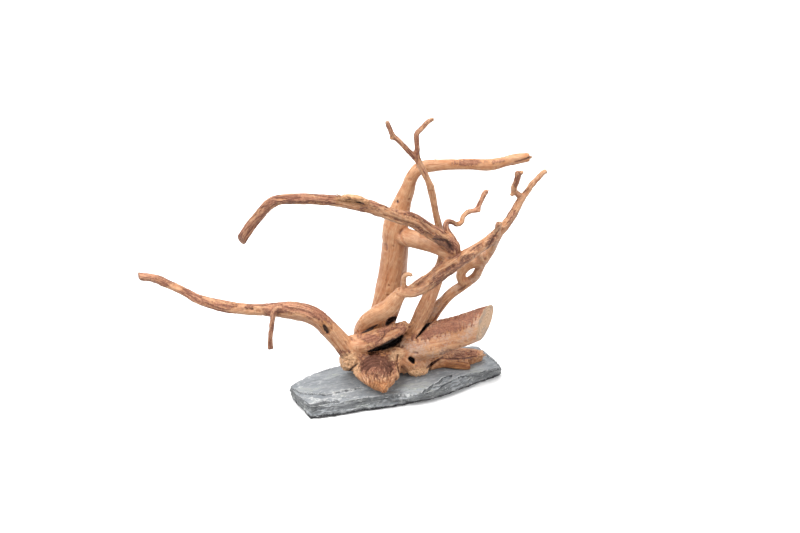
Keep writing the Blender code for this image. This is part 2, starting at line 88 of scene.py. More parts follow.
# Each limb: stations of (across, up, back, thickness) in millimetres in the front elevation
LIMBS = {
    "trunk": [
        (-20, 40, 22, 28), (-19, 68, 25, 27), (-14.5, 83, 27, 29), (-10.5, 96, 28, 31),
        (-8.1, 110, 28, 30.4), (-5.7, 128, 28, 29.4), (-4.1, 145, 27, 28.4), (-4.4, 164, 26, 27.2),
        (1.2, 184, 25, 20), (7.5, 201, 23, 15), (12, 213, 22, 12.6), (20, 222, 22, 12),
        (31, 224, 24, 12), (43, 225, 27, 10.8), (67, 225.6, 33, 10.8), (91, 225.3, 40, 12.4),
        (103, 228, 43, 11.2), (115.5, 231, 46, 11.8), (129, 233, 50, 10),
    ],
    "elbow_limb": [
        (-2, 156, 22, 18), (8.6, 152, 14, 18), (19, 149, 6, 16.6), (28, 145.5, 1, 14.2),
        (37, 142, -3, 13), (46, 139, -7, 14.4), (53, 138, -9, 13),
    ],
    "upper_left_reach": [
        (53, 136, -9, 13), (52, 143, -10, 16), (39, 153, -15, 14.6), (26, 161.5, -20, 14.4),
        (13.4, 169.8, -24, 14.4), (-4, 174.2, -28, 13), (-20, 180.2, -32, 12.6),
        (-36, 185, -36, 12.6), (-55, 188.5, -40, 11.8), (-74.3, 190, -43, 10.8),
        (-98.3, 191, -45, 11.2), (-117.4, 190.6, -46, 10.8), (-127.3, 188, -46, 11.8),
        (-140, 176, -45, 11.2), (-150, 163.5, -43, 10), (-158, 151, -41, 9.8), (-162, 144, -40, 9.8),
    ],
    "split_flake": [
        (-61, 192, -44, 3.2), (-52, 193, -45, 5.4), (-42, 191.6, -44, 5.8), (-32, 187.6, -41, 4.2),
    ],
    "wavy_twig": [
        (53, 151, -12, 6.6), (47.5, 159.5, -8, 5.6), (46.6, 167.5, -5, 4.6), (51.6, 168.2, -2, 4),
        (57.4, 165.7, 2, 4), (61.6, 167.8, 5, 3.8), (62.8, 172.8, 7, 3.8), (66.5, 177, 9, 3.8),
        (71.5, 179, 12, 3.8), (75.7, 179.6, 14, 3.8), (79, 184.8, 16, 3.6), (82.3, 192, 18, 3.8),
        (85.6, 198, 20, 4), (87.7, 199.3, 21, 3),
    ],
    "wavy_twig_spur": [(75, 179.6, 14, 3.2), (80.6, 179.8, 13, 2.2)],
    "rear_stem": [
        (9, 45, 8, 18), (12, 54, 9, 17), (17, 65, 10, 15), (24, 80, 14, 15.4), (29, 92.2, 16, 14.6),
        (33.4, 104, 18, 13.6), (39.6, 120, 20, 12.4), (43.5, 133, 21, 11.4), (42, 150, 19, 8.8),
        (38.8, 163.4, 16, 7.6), (35.5, 178.3, 12, 7.2), (33.4, 190, 9, 7.6), (31.5, 199, 7, 8),
        (29, 207, 5, 7), (24.3, 217, 4, 7), (19.4, 226.7, 4, 7.2), (17, 234, 4, 6),
        (17.2, 242, 5, 4.8), (16.6, 250, 7, 4.6), (16.6, 256, 8, 4.8), (22, 262, 10, 3.8),
        (28.2, 268.5, 12, 3.4), (33.6, 271.3, 14, 2.8),
    ],
    "rear_stem_fork": [
        (18, 229, 4, 6), (14.5, 233, 3, 5), (6.4, 241.2, 0, 4.2), (-1, 249, -3, 3.8),
        (-7, 254, -5, 4.6), (-10.6, 261.8, -6, 3.4), (-13.3, 269, -7, 3.4),
    ],
    "rear_stem_fork_spur": [(-7, 254, -5, 3.4), (-9.8, 250.5, -6, 2.2)],
    "front_limb": [
        (-36, 45, 12, 20), (-37, 55, 9, 18.4), (-32.8, 67.8, 0, 18.8), (-23.2, 75.6, -7, 19.4),
        (-12, 82, -11, 18.6), (-4, 91, -13, 16), (2, 99, -14, 12.8),
    ],
    "right_diagonal": [
        (0, 99, -14, 13), (6, 98, -15, 12), (13, 98, -16, 11.2), (23.6, 102.5, -17, 11.2),
        (34, 110.6, -18, 12.4), (44.3, 118.6, -18, 12.8), (55.8, 126.7, -17, 12.6),
        (67.4, 134.6, -13, 12.2), (79, 142.5, -7, 11.2), (90.6, 150.2, 0, 10.2), (97, 156.5, 4, 10.4),
        (103, 162, 8, 9.8), (109.7, 171, 12, 8.6), (114.6, 178.6, 16, 8.8), (118.8, 186, 19, 8.4),
        (121.5, 191, 21, 8), (126.2, 196.8, 24, 6.2), (131.2, 204.3, 27, 6.4), (137.8, 211.8, 31, 5.6),
        (142.8, 217.2, 34, 4.4), (146.5, 219.2, 36, 3.4),
    ],
    "diagonal_fork": [
        (121, 192, 21, 6.8), (118.8, 195, 20, 5.6), (114, 199, 18, 5.2), (114.6, 204.3, 16, 5.2),
        (117.5, 211.8, 14, 5.2), (118.4, 218.4, 12, 5.4),
    ],
    "diagonal_fork_heel_spur": [(114.4, 199.5, 18, 3.6), (111, 194, 17, 2.2)],
    "diagonal_fork_tip_spur": [(118.5, 214.5, 13, 3.4), (123, 219, 13, 2.2)],
    "diagonal_knob": [(96, 154, 2, 7.2), (97.5, 161, 0, 5.8), (99.2, 167.6, -2, 5.4)],
    "dead_twig": [
        (8, 101, -15, 3.4), (19.3, 109.6, -17, 3), (28.2, 115, -17, 2.8), (37.1, 123, -16, 2.8),
        (45.2, 128.4, -14, 2.8), (54, 133.6, -11, 3.2),
    ],
    "hook_twig": [
        (4, 103, -15, 5.2), (3.5, 109, -16, 3.8), (4.5, 113.5, -17, 3.2), (8, 115.8, -18, 3),
        (12.6, 114.6, -19, 2.2),
    ],
    "lower_right_stem": [
        (20, 52, 18, 16), (27, 67, 22, 14), (34, 78.5, 24, 12.4), (42, 87.7, 24, 10.8),
        (51.2, 96.8, 23, 10), (60.4, 103.1, 22, 10), (68.4, 108.3, 21, 9.6), (75.2, 113.6, 20, 9.4),
        (80, 122.6, 18, 9), (85, 131.3, 15, 10), (91.4, 140.5, 11, 9), (96, 149.6, 8, 8.4),
        (100.5, 157.7, 7, 8),
    ],
    "ring_root": [
        (66, 106.5, 20, 10), (61.6, 111, 20, 10.4), (61.2, 117, 19, 10.4), (64.6, 121.8, 18, 9.8),
        (70, 125.6, 17, 10), (76, 128, 16, 11), (82, 128, 15, 11),
    ],
    "stem_knob": [(85, 127, 16, 8), (82.6, 133, 13, 11), (80, 138, 10, 7)],
    "sawn_stub": [
        (3, 43, 8, 30), (18, 45.4, 6, 32.4), (31.6, 49.6, 3, 33.6), (49, 55.6, 0, 31.6),
        (66.7, 61.6, -3, 30.8), (86, 69, -6, 29.4), (104, 75.2, -9, 28.4),
    ],
    "right_foot": [(2, 40, 6, 28), (11, 33, 4, 28), (17, 26, 6, 24), (24, 24, 12, 18)],
    "wedge_front": [
        (28, 27, 16, 16), (41, 28, 21, 12), (54, 27, 20, 12), (65, 26.2, 18, 12), (76, 26.6, 19, 12),
    ],
    "wedge_back": [
        (30, 33, 26, 14), (45, 35, 36, 12), (60, 36, 38, 12), (76, 36, 36, 10), (83, 36, 34, 7.5),
    ],
    "heel": [
        (-16, 28, -2, 26), (-21, 25, -14, 28), (-22, 15, -27, 25), (-18, 6, -37, 18),
        (-15.5, -1, -45, 7),
    ],
    "heel_left_toe": [(-32, 32, -8, 24), (-37, 23, -15, 21), (-33, 12, -26, 14)],
    "heel_right_toe": [(-8, 29, -8, 19), (-8, 20, -18, 17), (-5.5, 12, -28, 10)],
    "left_foot": [(-44, 42, 0, 22), (-50, 32, 1, 22), (-49, 24, 4, 18)],
    "lower_left_reach": [
        (-40, 34, -6, 26), (-52, 41.2, -9, 22.6), (-61.6, 50.2, -11, 19), (-71, 60.2, -12, 17.8),
        (-80.2, 69.8, -13, 17.6), (-91.8, 76.2, -13, 17.6), (-104.4, 79.2, -12, 17.6),
        (-118.5, 80.2, -10, 15.4),
        (-135.3, 80.2, -8, 11.8), (-150.7, 80.6, -5, 11.2), (-169, 82.6, -2, 11.4), (-185.8, 86, 2, 11.4),
        (-202.7, 91.4, 6, 9.8), (-218.1, 99.4, 10, 9), (-233.5, 106.2, 14, 9), (-244.7, 111.4, 17, 8.8),
        (-259.5, 113.7, 20, 8.2), (-266, 114.6, 21, 8.2),
    ],
    "hanging_twig": [
        (-119, 82, -15, 5.6), (-124.5, 81, -17, 5.4), (-127, 74, -18, 5), (-128.3, 62.7, -18, 4.4),
        (-129.7, 51.4, -18, 3.8), (-129.7, 40.5, -18, 4.4),
    ],
    "bridge": [
        (-56, 42.6, -9, 17), (-48, 45.4, -9, 18.6), (-36, 47.4, -10, 18.8), (-24, 52, -12, 17.2),
        (-12.6, 56, -12, 16),
        (-3.4, 60.3, -9, 14), (4, 64.5, -4, 9.6),
    ],
    "crown": [(-44, 44, 8, 22), (-28, 43, 16, 28), (-12, 43, 18, 32), (6, 43, 12, 28)],
    "sole": [(-48, 30, 4, 20), (-28, 27, 2, 20), (-8, 27, 3, 20), (12, 30, 6, 24)],
    "back_toe": [(-14, 42, 20, 28), (-8, 41, 30, 22), (-3, 38, 38, 18)],
    "crotch": [(-4, 57, 4, 12), (3, 63, 7, 11), (7.6, 65.6, 10, 9)],
    "heel_lap": [(-13, 33, -11, 9), (-5, 38, -9, 10), (3, 36, -7, 9)],
    "foot_flare": [(-45, 42, -8, 22), (-48.5, 33, -9, 20), (-50, 25, -8, 17)],
    "heel_fan": [(-38, 17, -20, 13), (-29, 10, -30, 13), (-17, 8, -33, 14), (-8.5, 13, -27, 12)],
    "heel_fan_top": [(-36, 25, -14, 15), (-22, 25, -20, 16), (-9, 24, -15, 14)],
    "wedge_middle": [(36, 30, 20, 15), (52, 31.4, 28, 14), (68, 30.6, 29, 14), (82, 30, 28, 13)],
    "wedge_ridge": [(44, 35, 30, 11), (58, 35, 34, 11), (74, 35, 33, 10), (83, 35, 32, 8)],
}

# Hollows, cracks and creases pressed into the side that faces the eye: how far back the
# surface lies, how deep to press, how much painted shade darkens the bottom, and (across, up, width) along
# them
PRESSES = {
    "reach_knot": (-10, 1.6, 0.5, [(-150.5, 81.4, 1.6), (-147.5, 81, 2.2)]),
    "reach_groove": (-36, 2.2, 0.3, [
        (-17, 175.5, 1.6), (0.4, 169.7, 3), (10, 166, 3.4), (18, 163, 3.6), (29.7, 153.5, 4),
        (35.6, 150.6, 3.4)]),
    "reach_upper_groove": (-32, 1.7, 0.34, [
        (8, 176, 1.4), (18, 171.5, 3), (25.4, 163.6, 3.2), (32.7, 155.5, 3)]),
    "elbow_crack": (-18, 2.6, 0.7, [(33, 151.5, 1.6), (40, 150.2, 2.2), (46.5, 149.4, 2.6), (50, 145, 2.6)]),
    "elbow_pit": (-16, 3, 0.65, [(48.5, 147, 2.4), (51, 142.5, 3), (53.6, 139, 1.4)]),
    "elbow_lip": (4, 1.2, 0.12, [
        (4.5, 162.5, 1.2), (1.2, 159.5, 1.6), (0.2, 155.7, 1.8), (2.2, 149.9, 1.8), (7, 143.6, 1.8),
        (13, 140.6, 1.4)]),
    "flake_slit": (-46, 2.2, 0.9, [
        (-57, 189.4, 0.9), (-50, 190.6, 1.6), (-44, 188.6, 1.5), (-36, 186.4, 1)]),
    "reach_underside": (-44, 0.9, 0.35, [
        (-118, 186.8, 1.8), (-98, 188, 2.4), (-76, 187, 2.2), (-58, 185.4, 1.8)]),
    "bridge_crease": (-20, 1.3, 0.7, [
        (-24.5, 47.4, 1), (-18.4, 51, 1.2), (-15.2, 55, 1.2), (-15.4, 59.4, 0.9)]),
    "stem_bark_split": (16, 1.6, 0.4, [(31, 66, 1.8), (36.5, 74, 2), (42, 81.5, 2), (47, 88, 1.2)]),
    "wedge_groove": (14, 1.8, 0.6, [(42, 31.6, 1.4), (55, 31, 1.8), (68, 32, 1.6), (78, 34.6, 1)]),
    "foot_crack": (-14, 3.4, 0.8, [(-54, 16, 1.6), (-48, 21.6, 1.9), (-42.6, 26.4, 1.4)]),
    "tip_split": (44, 1.3, 0.9, [(114, 228.2, 0.6), (120, 229.4, 0.9), (126, 231.4, 1), (131, 233.6, 1.2)]),
    "diagonal_crevice": (-4, 2.0, 0.5, [(86, 139, 1.4), (89, 144, 2.2), (93, 151, 2.2), (99.5, 161, 1.6)]),
    "diagonal_scar": (-22, 1.2, 0.34, [
        (29, 107.6, 2), (36, 113.6, 3), (43, 119, 2.6), (50, 122, 3.4), (59, 126.4, 3.2), (68, 132, 2.4)]),
    "diagonal_streak": (-10, 1.0, 0.35, [(70, 138.5, 1.4), (78, 144.5, 2.4), (84, 149, 1.6)]),
    "ring_scar": (14, 0.9, 0.45, [(58.6, 99.6, 2), (63, 102.2, 2.6), (66, 104.6, 1.4)]),
    "stem_step": (4, 0.9, 0.4, [(26.8, 198.6, 1), (31.6, 200.4, 1.2), (37, 199.4, 1)]),
    "trunk_knot": (12, 1.6, 0.9, [(-2.6, 189, 2), (-2.2, 187.6, 2)]),
    "trunk_seam": (14, 0.8, 0.35, [(-16, 96, 0.9), (-12, 120, 1.1), (-10.5, 142, 0.8)]),
    "sawn_dot": (-22, 1.5, 1.0, [(83, 61.8, 1.3), (84, 61, 1.3)]),
}
PRESS_TOLERANCE = 15

# Hollows and deep cracks of that side: how far back their bottom lies, its painted shade, and (across, up,
# width)
HOLLOWS = {
    "knot_hole": (-17, 0.8, [(-76.2, 64.4, 1.8), (-74.6, 61.5, 3), (-72.6, 58, 2.4)]),
    "foot_hole": (-1, 0.9, [(10.2, 31.2, 3.2), (12.2, 29.6, 3.8), (13.8, 27, 1.4)]),
    "bridge_slit": (-8, 0.85, [(-43, 56.2, 0.8), (-34.6, 58.4, 1.7), (-27.6, 62, 2.6), (-23, 65, 1.2)]),
    "bridge_window": (24, 0.85, [(-13, 65.8, 2.4), (-10.4, 69.4, 4.2), (-5, 71.6, 3.4)]),
    "bridge_hollow": (14, 1.0, [
        (-31.8, 38.4, 1), (-24.7, 40.6, 2.6), (-16.3, 43.2, 4.4), (-8.6, 46.6, 5), (-1.4, 50.4, 4.2),
        (2.4, 54.4, 1.8)]),
    "bridge_crack": (0, 0.8, [(4.4, 55, 1.2), (7, 61, 1.1), (8.2, 69.5, 1.3)]),
    "stem_crack": (14, 1.0, [
        (16, 51.6, 0.7), (21, 57.2, 1.4), (26, 63.4, 2.4), (32, 70.6, 3), (38, 77, 1.6)]),
    "lobe_crack": (-8, 0.5, [(-2.2, 35, 1.2), (-3.2, 28, 1), (-1.2, 18, 1.1)]),
    "wedge_hollow": (18, 0.7, [(27, 22, 1.2), (31.6, 26, 1.9), (38, 30.2, 1.3), (45, 34.4, 0.8)]),
}

# Places smoothed over, so that limbs flow into one another:
# (across, up, half width, half height, lean, force)
FLOWING = [
    (-22, 22, 24, 17, 0, 1.0), (14, 30, 20, 16, 0, 0.9), (50, 33, 18, 8, 3, 0.7), (84, 131, 9, 9, 0, 0.7),
    (-48, 34, 12, 14, 0, 0.9),
]
FLOW_ROUNDS = 26

# The sawn end: a point on its face and the way it faces (across, up, towards the eye)
SAWN_POINT = (85, 66.4, -6)
SAWN_FACING = (0.84, -0.30, 0.45)
SAW_BLOCK = 60 * MM

# Ends that were cut or broken across, in the same way, each with the size of the block taken off
CUT_ENDS = (
    ((76.6, 29.4, 26), (0.56, -0.62, 0.55), 27 * MM),
    ((-261, 113.4, 20), (-0.9, -0.3, 0.3), 20 * MM),
    ((-158.8, 150.2, -41), (-0.62, -0.68, 0.4), 22 * MM),
    ((130.4, 232.8, 50), (1.0, 0.05, 0.2), 18 * MM),
    ((-129.8, 40.6, -18), (0.05, -0.95, 0.3), 12 * MM),
)
SEAT_BLOCK = 400 * MM

# How far the heel's underside stands off the slab
HEEL_LIFT = 2.4 * MM

# How much bark, warm colour and grey weathering each limb carries, and how smooth it is, from 0 to 1
SKINS = {
    "trunk": (0.06, 0.55, 0.05, 1.0), "elbow_limb": (0.0, 0.6, 0.15, 1.0),
    "upper_left_reach": (0.74, 0.45, 0.2, 0.15), "wavy_twig": (0.5, 0.4, 0.1, 0.3),
    "wavy_twig_spur": (0.5, 0.4, 0.1, 0.3), "rear_stem": (0.12, 0.35, 0.2, 0.5),
    "rear_stem_fork": (0.6, 0.5, 0.2, 0.1), "front_limb": (0.0, 0.3, 0.1, 1.0),
    "right_diagonal": (0.4, 0.5, 0.3, 0.1), "diagonal_fork": (0.4, 0.4, 0.5, 0.1),
    "diagonal_knob": (0.4, 0.4, 0.5, 0.1), "dead_twig": (0.5, 0.5, 0.6, 0.0),
    "hook_twig": (0.2, 0.4, 0.3, 0.3), "lower_right_stem": (0.05, 0.1, 1.0, 0.6),
    "ring_root": (0.05, 0.6, 0.1, 0.7), "stem_knob": (0.0, 0.1, 0.6, 0.5),
    "sawn_stub": (0.0, 0.0, 1.0, 0.8), "right_foot": (0.0, 0.1, 0.6, 0.8),
    "wedge_front": (0.35, 1.0, 0.0, 0.0), "wedge_back": (0.45, 0.9, 0.0, 0.0),
    "heel": (0.5, 0.5, 0.0, 0.5), "lower_left_reach": (0.66, 0.4, 0.2, 0.4),
    "hanging_twig": (0.9, 0.2, 0.2, 0.1), "bridge": (0.42, 0.4, 0.1, 0.7),
    "crown": (0.3, 0.4, 0.1, 0.5), "left_foot": (0.0, 0.3, 0.1, 0.3),
}
PLAIN_SKIN = (0.15, 0.4, 0.1, 0.5)

# Patches in the front elevation: (across, up, half width, half height, lean in degrees, strength)
BARK_PATCHES = [
    (52, 66, 36, 8.5, 20, 1.0), (28, 56, 10, 6, 30, 0.8), (80, 80, 10, 6, 15, 0.9),
    (-80, 77, 11, 6, -35, 0.95), (-24, 25, 20, 12, 0, 0.9), (-66, 66, 12, 5, -42, 0.6),
    (-30, 51, 12, 5, 0, 0.7), (-14, 60, 8, 7, 40, 0.75),
    (70, 227.5, 19, 3, 2, 0.75), (98, 228.5, 9, 2.4, 6, 0.6), (-150, 82, 6, 5, 0, 0.6),
    (58, 36, 22, 6, 0, 0.6), (35, 186, 6, 24, 10, 0.3), (20, 250, 17, 24, 0, 0.6),
    (-186, 84, 22, 5, 5, 0.55), (-236, 108, 20, 7, 20, 0.6), (-84, 193, 40, 4, 0, 0.55),
    (-140, 175, 20, 4, 48, 0.55),
]
BARE_PATCHES = [
    (50, 44, 40, 10, 20, 1.0), (-22, 76, 22, 13, 30, 1.0), (-8, 56, 10, 3.6, 30, 0.8),
    (-4, 130, 20, 60, 0, 0.88), (-46, 190, 14, 5, -8, 1.0), (84, 131, 9, 9, 0, 1.0),
    (-108, 71, 18, 7, -6, 0.9), (-66, 52, 15, 12, -48, 1.0), (-44, 45, 11, 7, 0, 0.6),
    (-86, 64, 12, 7, -35, 0.9), (22, 165, 24, 3.6, -28, 0.8), (-60, 183.5, 26, 2.6, 4, 0.5),
    (-148, 77, 16, 5, 0, 0.6), (13, 30, 16, 13, 0, 1.0), (26, 149, 22, 8, -14, 1.0),
]
STAIN_PATCHES = [
    (46, 116, 22, 4.4, 36, 0.7), (64, 129, 14, 4, 36, 0.7), (35, 106, 8, 4, 36, 0.5),
    (42, 148, 14, 4.5, -38, 0.75), (50, 143, 5, 6, -30, 0.8), (12, 172, 30, 3, -16, 0.5),
    (-28, 29, 15, 9, 20, 0.82), (-12, 28, 10, 9, 0, 0.78), (-20, 17, 11, 7, 10, 0.6),
    (55, 37, 18, 5, 0, 0.6), (-130, 188, 14, 3.4, 40, 0.5), (92, 150, 6, 9, -35, 0.6),
    (78, 142, 6, 3, 36, 0.6), (38, 84, 5, 12, -35, 0.2), (-5, 37, 5, 6, 0, 0.6),
]
TORN_PATCHES = [
    (-19, 3, 15, 7, 0, 0.95), (-45, 190, 13, 4.5, -8, 0.8), (16, 18, 16, 3.5, 12, 0.6),
    (56, 23, 24, 4.5, 0, 0.9), (-50, 24, 11, 13, 0, 0.6), (-74, 61.5, 6, 8, 25, 0.9),
    (127, 231, 6, 5, 0, 0.6), (13, 26.5, 5, 3, 0, 0.8),
]
CRUMBLE_PATCHES = [
    (-51, 24, 11, 14, 0, 1.0), (-74, 61.5, 4, 5.6, 25, 0.45), (-3, 35, 9, 5, 30, 0.7),
    (16, 17, 17, 4.5, 12, 1.0), (-47, 191, 14, 4.5, -8, 0.7),
]

# Ridges of the heel arch round this point of the front elevation
ARCH_CENTRE = (-25, 16)
ARCH_PITCH = 3.5
ARCH_REACH = 21

# Knots: (across, up, back, size) in millimetres
KNOTS = [
    (-2.4, 188.5, 13, 3.2), (-28, 95, 18, 7), (85, 131, 8, 5), (33, 203, 3, 4.5), (-155, 83, -9, 3.4),
    (-98, 194, -50, 3), (66, 138, -19, 4), (9, 88, 4, 4), (104, 165, 4, 4), (-40, 68, -6, 4),
    (-8, 138, 42, 5), (0, 100, 44, 6), (30, 66, -14, 4),
]

# Cracks and ledges of the slab's top: how deep, how much the nearer side drops, and (across, up, width)
CLEFTS = [
    (0.2, 0.9, [
        (-110, 0.4), (-99, -0.8), (-86.8, -1), (-77, -2.4), (-68.5, -1.8), (-58, 0.6), (-48, 1.6),
        (-36, 5.4)]),
    (2.2, 1.8, [(16, -11), (20.4, -6), (24, -0.8), (28.6, 2), (33, 5.4), (38, 7.4), (43, 12.3), (52, 14.8)]),
    (1.0, 0.7, [(37, -1.4), (42, 3.6), (47, 6.6), (52, 9.2)]),
    (2.0, 1.5, [(58, 12.4), (64, 13.6), (74, 15), (82.5, 18), (92, 19.6), (102, 21.6)]),
    (0.5, 0.0, [(60, 40), (70, 38.4), (80, 36.8), (88, 33.4)]), (0.4, 0.0, [(62, 43), (74, 41), (84, 39)]),
    (0.4, 0.3, [(-96, 6), (-84, 9.6), (-70, 10.6), (-60, 14.6)]),
    (0.35, 0.3, [(-58, -7.6), (-40, -5.2), (-22, -4.6), (-4, -2.8), (10, -3)]),
]
CLEFT_WIDTH = 0.9
SCUFFED = [
    (-58, -2, 16, 3, 10, 0.9), (-86, -11, 8, 5, 0, 0.9), (4, -6, 12, 2.6, 8, 0.9), (-66, -9, 14, 3, 8, 0.6),
    (-98, 4, 8, 3, 15, 0.6), (78, 30, 10, 3, -15, 0.5), (26, 0, 8, 3, 30, 0.5), (-40, -8, 10, 2, 5, 0.6),
]

# The slab's outline at five heights, as (across, up) in the same elevation, point for point
SLAB_FOOT = [
    (-107, -7), (-101, -14.5), (-95, -21.5), (-89.4, -29), (-70, -26), (-50, -22.5), (-30, -19),
    (-10, -16), (10, -13), (30, -8.5), (50, -2.5), (66, 3.5), (80, 9), (91, 12), (98, 16),
    (94, 23), (84, 31), (74, 35), (56, 32), (0, 23), (-56, 13), (-79, 7), (-96, -2),
]
SLAB_RIM = [
    (-109, -5), (-103, -13), (-97, -20.5), (-89.5, -26.5), (-70, -25), (-50, -22), (-30, -18.8),
    (-10, -15.8), (10, -13), (30, -8.5), (50, -2.5), (66, 3.5), (80, 9.5), (92, 13), (101, 16.5),
    (96, 26), (86, 34), (76, 38), (56, 35), (0, 26), (-56, 16), (-80, 9), (-98, 0),
]
SLAB_LEDGE = [
    (-110, -1), (-105, -6.5), (-98.5, -14), (-90, -20.5), (-70, -18), (-50, -16), (-30, -11.5),
    (-10, -10), (10, -9.5), (30, -6.5), (50, 0), (66, 6.5), (80, 12.5), (91, 17), (101, 21.5),
    (96.5, 28), (86, 37), (76, 42), (57, 39.5), (0, 30), (-56, 20), (-80, 14), (-100, 4),
]
SLAB_SHOULDER = [
    (-110, 3.3), (-106, -1), (-99, -7.5), (-90, -13.8), (-70, -8.5), (-50, -10), (-30, -6),
    (-10, -3), (10, -2), (27, -2.5), (40, 3.5), (54, 10), (66, 14.3), (80, 16.5), (98, 22.3),
    (94, 29), (84, 39), (76, 44), (58, 43), (0, 34), (-56, 24), (-80, 18.5), (-101, 9),
]
SLAB_TOP = [
    (-110, 4.5), (-107, 2.5), (-100, 0), (-90, -1), (-74, -2.5), (-62, -0.5), (-43, 3.5),
    (-20, 3), (5, 2), (25, 2), (38, 6), (54, 11.5), (66, 16), (80, 18), (96, 24),
    (93, 30), (83, 40), (76, 45), (58, 44), (0, 35.5), (-56, 25.5), (-80, 20), (-101, 10),
]
SLAB_LEVELS = ((0, SLAB_FOOT), (3, SLAB_RIM), (8, SLAB_LEDGE), (14.5, SLAB_SHOULDER), (16, SLAB_TOP))

# The slab's leaves: tops, lap, how far the lowest are drawn in, and the step of their outlines
LEAF_TOPS = (1.6, 3.6, 5.0, 6.2, 7.6, 9.3, 10.8, 12.1, 13.4, 14.5, 16.0)
LEAF_LAP = 0.7
FOOT_INSETS = (0.3, 0.2)
OUTLINE_STEP = 1.7 * MM
BORE_GAP = 0.3 * MM

# Torn fibres: middle (across, up, back), heading, how many, length, width and spread
SPLINTERS = [
    ((147, 218.5, 36), (0.5, -1.0, 0.2), 6, 4.2, 0.45, 2.2),
    ((131, 233, 48), (1.0, -0.1, 0.0), 18, 3.0, 0.9, 3.2),
    ((118.5, 218.6, 12), (0.3, 1.0, 0.0), 4, 2.6, 0.5, 1.8),
    ((-56, 192, -46), (-1.0, 0.2, -0.25), 9, 8.0, 1.2, 5.0),
    ((-42, 190, -46), (-1.0, 0.1, -0.25), 11, 10.0, 1.3, 6.0),
    ((-34, 188, -44), (-1.0, 0.25, -0.2), 6, 8.0, 0.8, 4.0),
    ((12.6, 114.6, -19), (1.0, -0.2, 0.0), 2, 2.2, 0.5, 0.8),
    ((87.5, 199.4, 21), (1.0, 0.2, 0.0), 3, 2.2, 0.5, 1.2),
    ((-129.7, 41, -18), (0.0, -1.0, 0.0), 4, 2.4, 0.5, 1.8),
    ((33.6, 271.2, 14), (1.0, 0.4, 0.0), 3, 2.4, 0.45, 1.0),
    ((-13.3, 269, -7), (-0.3, 1.0, 0.0), 3, 2.2, 0.45, 1.2),
    ((16, 18.5, -9), (0.2, -1.0, -0.5), 22, 2.2, 0.55, 13.0),
    ((-18, 3, -42), (0.2, -1.0, -0.4), 16, 3.0, 0.6, 9.0),
    ((82, 35, 33), (1.0, -0.2, 0.0), 8, 3.4, 0.6, 3.5),
]
SPLINTER_SEED = 31

# Largest angles, in degrees, that are still shaded smooth
SMOOTH_WOOD, SMOOTH_SLATE = 55, 50

# Floor size in metres, world strength, and each lamp's across, up, nearer, size and power
FLOOR_SIZE = 80
WORLD_STRENGTH = 0.60
LAMPS = (
    ("key", -2.0, 3.4, 1.6, 2.4, 190.0),
    ("fill", 3.0, 2.0, 2.2, 2.6, 84.0),
    ("top", -0.4, 3.6, -0.8, 2.4, 118.0),
)


# Placing in the front elevation

def place(across, up, back):
    """The point in the frame for a station, and how much nearer or further than the origin it is."""
    on_plane = ACROSS * across * MM + LINE_UP * up * MM
    ray = on_plane - EYE
    reach = (back * MM - EYE.dot(AWAY)) / ray.dot(AWAY)
    return EYE + ray * reach, reach


def turned(across, up, nearer):
    """The direction in the frame for one given in the front elevation."""
    return (ACROSS * across + LINE_UP * up - SIGHT * nearer).normalized()


def place_level(across, up, height):
    """The point at a height where the line of sight through (across, up) comes down."""
    ray = ACROSS * across * MM + LINE_UP * up * MM - EYE
    return EYE + ray * ((height * MM - EYE.z) / ray.z)


def elevation(spots):
    """Where spots of the frame show in the front elevation: (across, up) in millimetres."""
    rays = spots - np.array(EYE)
    reach = -EYE.dot(SIGHT) / (rays @ np.array(SIGHT))
    on_plane = np.array(EYE) + rays * reach[:, None]
    return np.stack([on_plane @ np.array(ACROSS), on_plane @ np.array(LINE_UP)], 1) / MM


# Noise and shaping on arrays

def lattice(cells, seed):
    """A fixed random number from 0 to 1 for each cell."""
    mixed = cells[:, 0] * 73856093 ^ cells[:, 1] * 19349663 ^ cells[:, 2] * 83492791 ^ seed * 40503
    mixed = ((mixed & 0xFFFFFFFF) ^ (mixed >> 15 & 0x1FFFF)) * 73244475 & 0xFFFFFFFF
    mixed = (mixed ^ mixed >> 13) * 73244475 & 0xFFFFFFFF
    return (mixed >> 8 & 0xFFFF) / 0xFFFF


def wander(spots, seed, octaves=1):
    """Smooth noise from about -1 to 1, at spots measured in its own cells."""
    total = np.zeros(len(spots))
    weight, sum_of_weights = 1.0, 0.0
    for octave in range(octaves):
        cells = np.floor(spots).astype(np.int64)
        share = spots - cells
        share = share * share * share * (share * (share * 6 - 15) + 10)
        value = np.zeros(len(spots))
        for corner in range(8):
            step = np.array([corner & 1, corner >> 1 & 1, corner >> 2 & 1])
            part = np.prod(np.where(step, share, 1 - share), axis=1)
            value += part * lattice(cells + step, seed + octave * 101)
        total += weight * (value * 2 - 1)
        sum_of_weights += weight
        weight *= 0.5
        spots = spots * 2.03 + 11.7
    return total / sum_of_weights


def ease(values, low, high):
    """0 below low, 1 above high, and smooth between them."""
    share = np.clip((values - low) / (high - low), 0, 1)
    return share * share * (3 - 2 * share)


def patches(shown, table, ragged):
    """How strongly each spot lies in the listed patches, with a ragged edge."""
    strength = np.zeros(len(shown))
    for across, up, half_width, half_height, lean, force in table:
        turn = math.radians(lean)
        x = (shown[:, 0] - across) * math.cos(turn) + (shown[:, 1] - up) * math.sin(turn)
        y = (shown[:, 1] - up) * math.cos(turn) - (shown[:, 0] - across) * math.sin(turn)
        reach = np.sqrt((x / half_width) ** 2 + (y / half_height) ** 2)
        strength = np.maximum(strength, force * ease(1.15 - reach + ragged, 0.0, 0.45))
    return strength


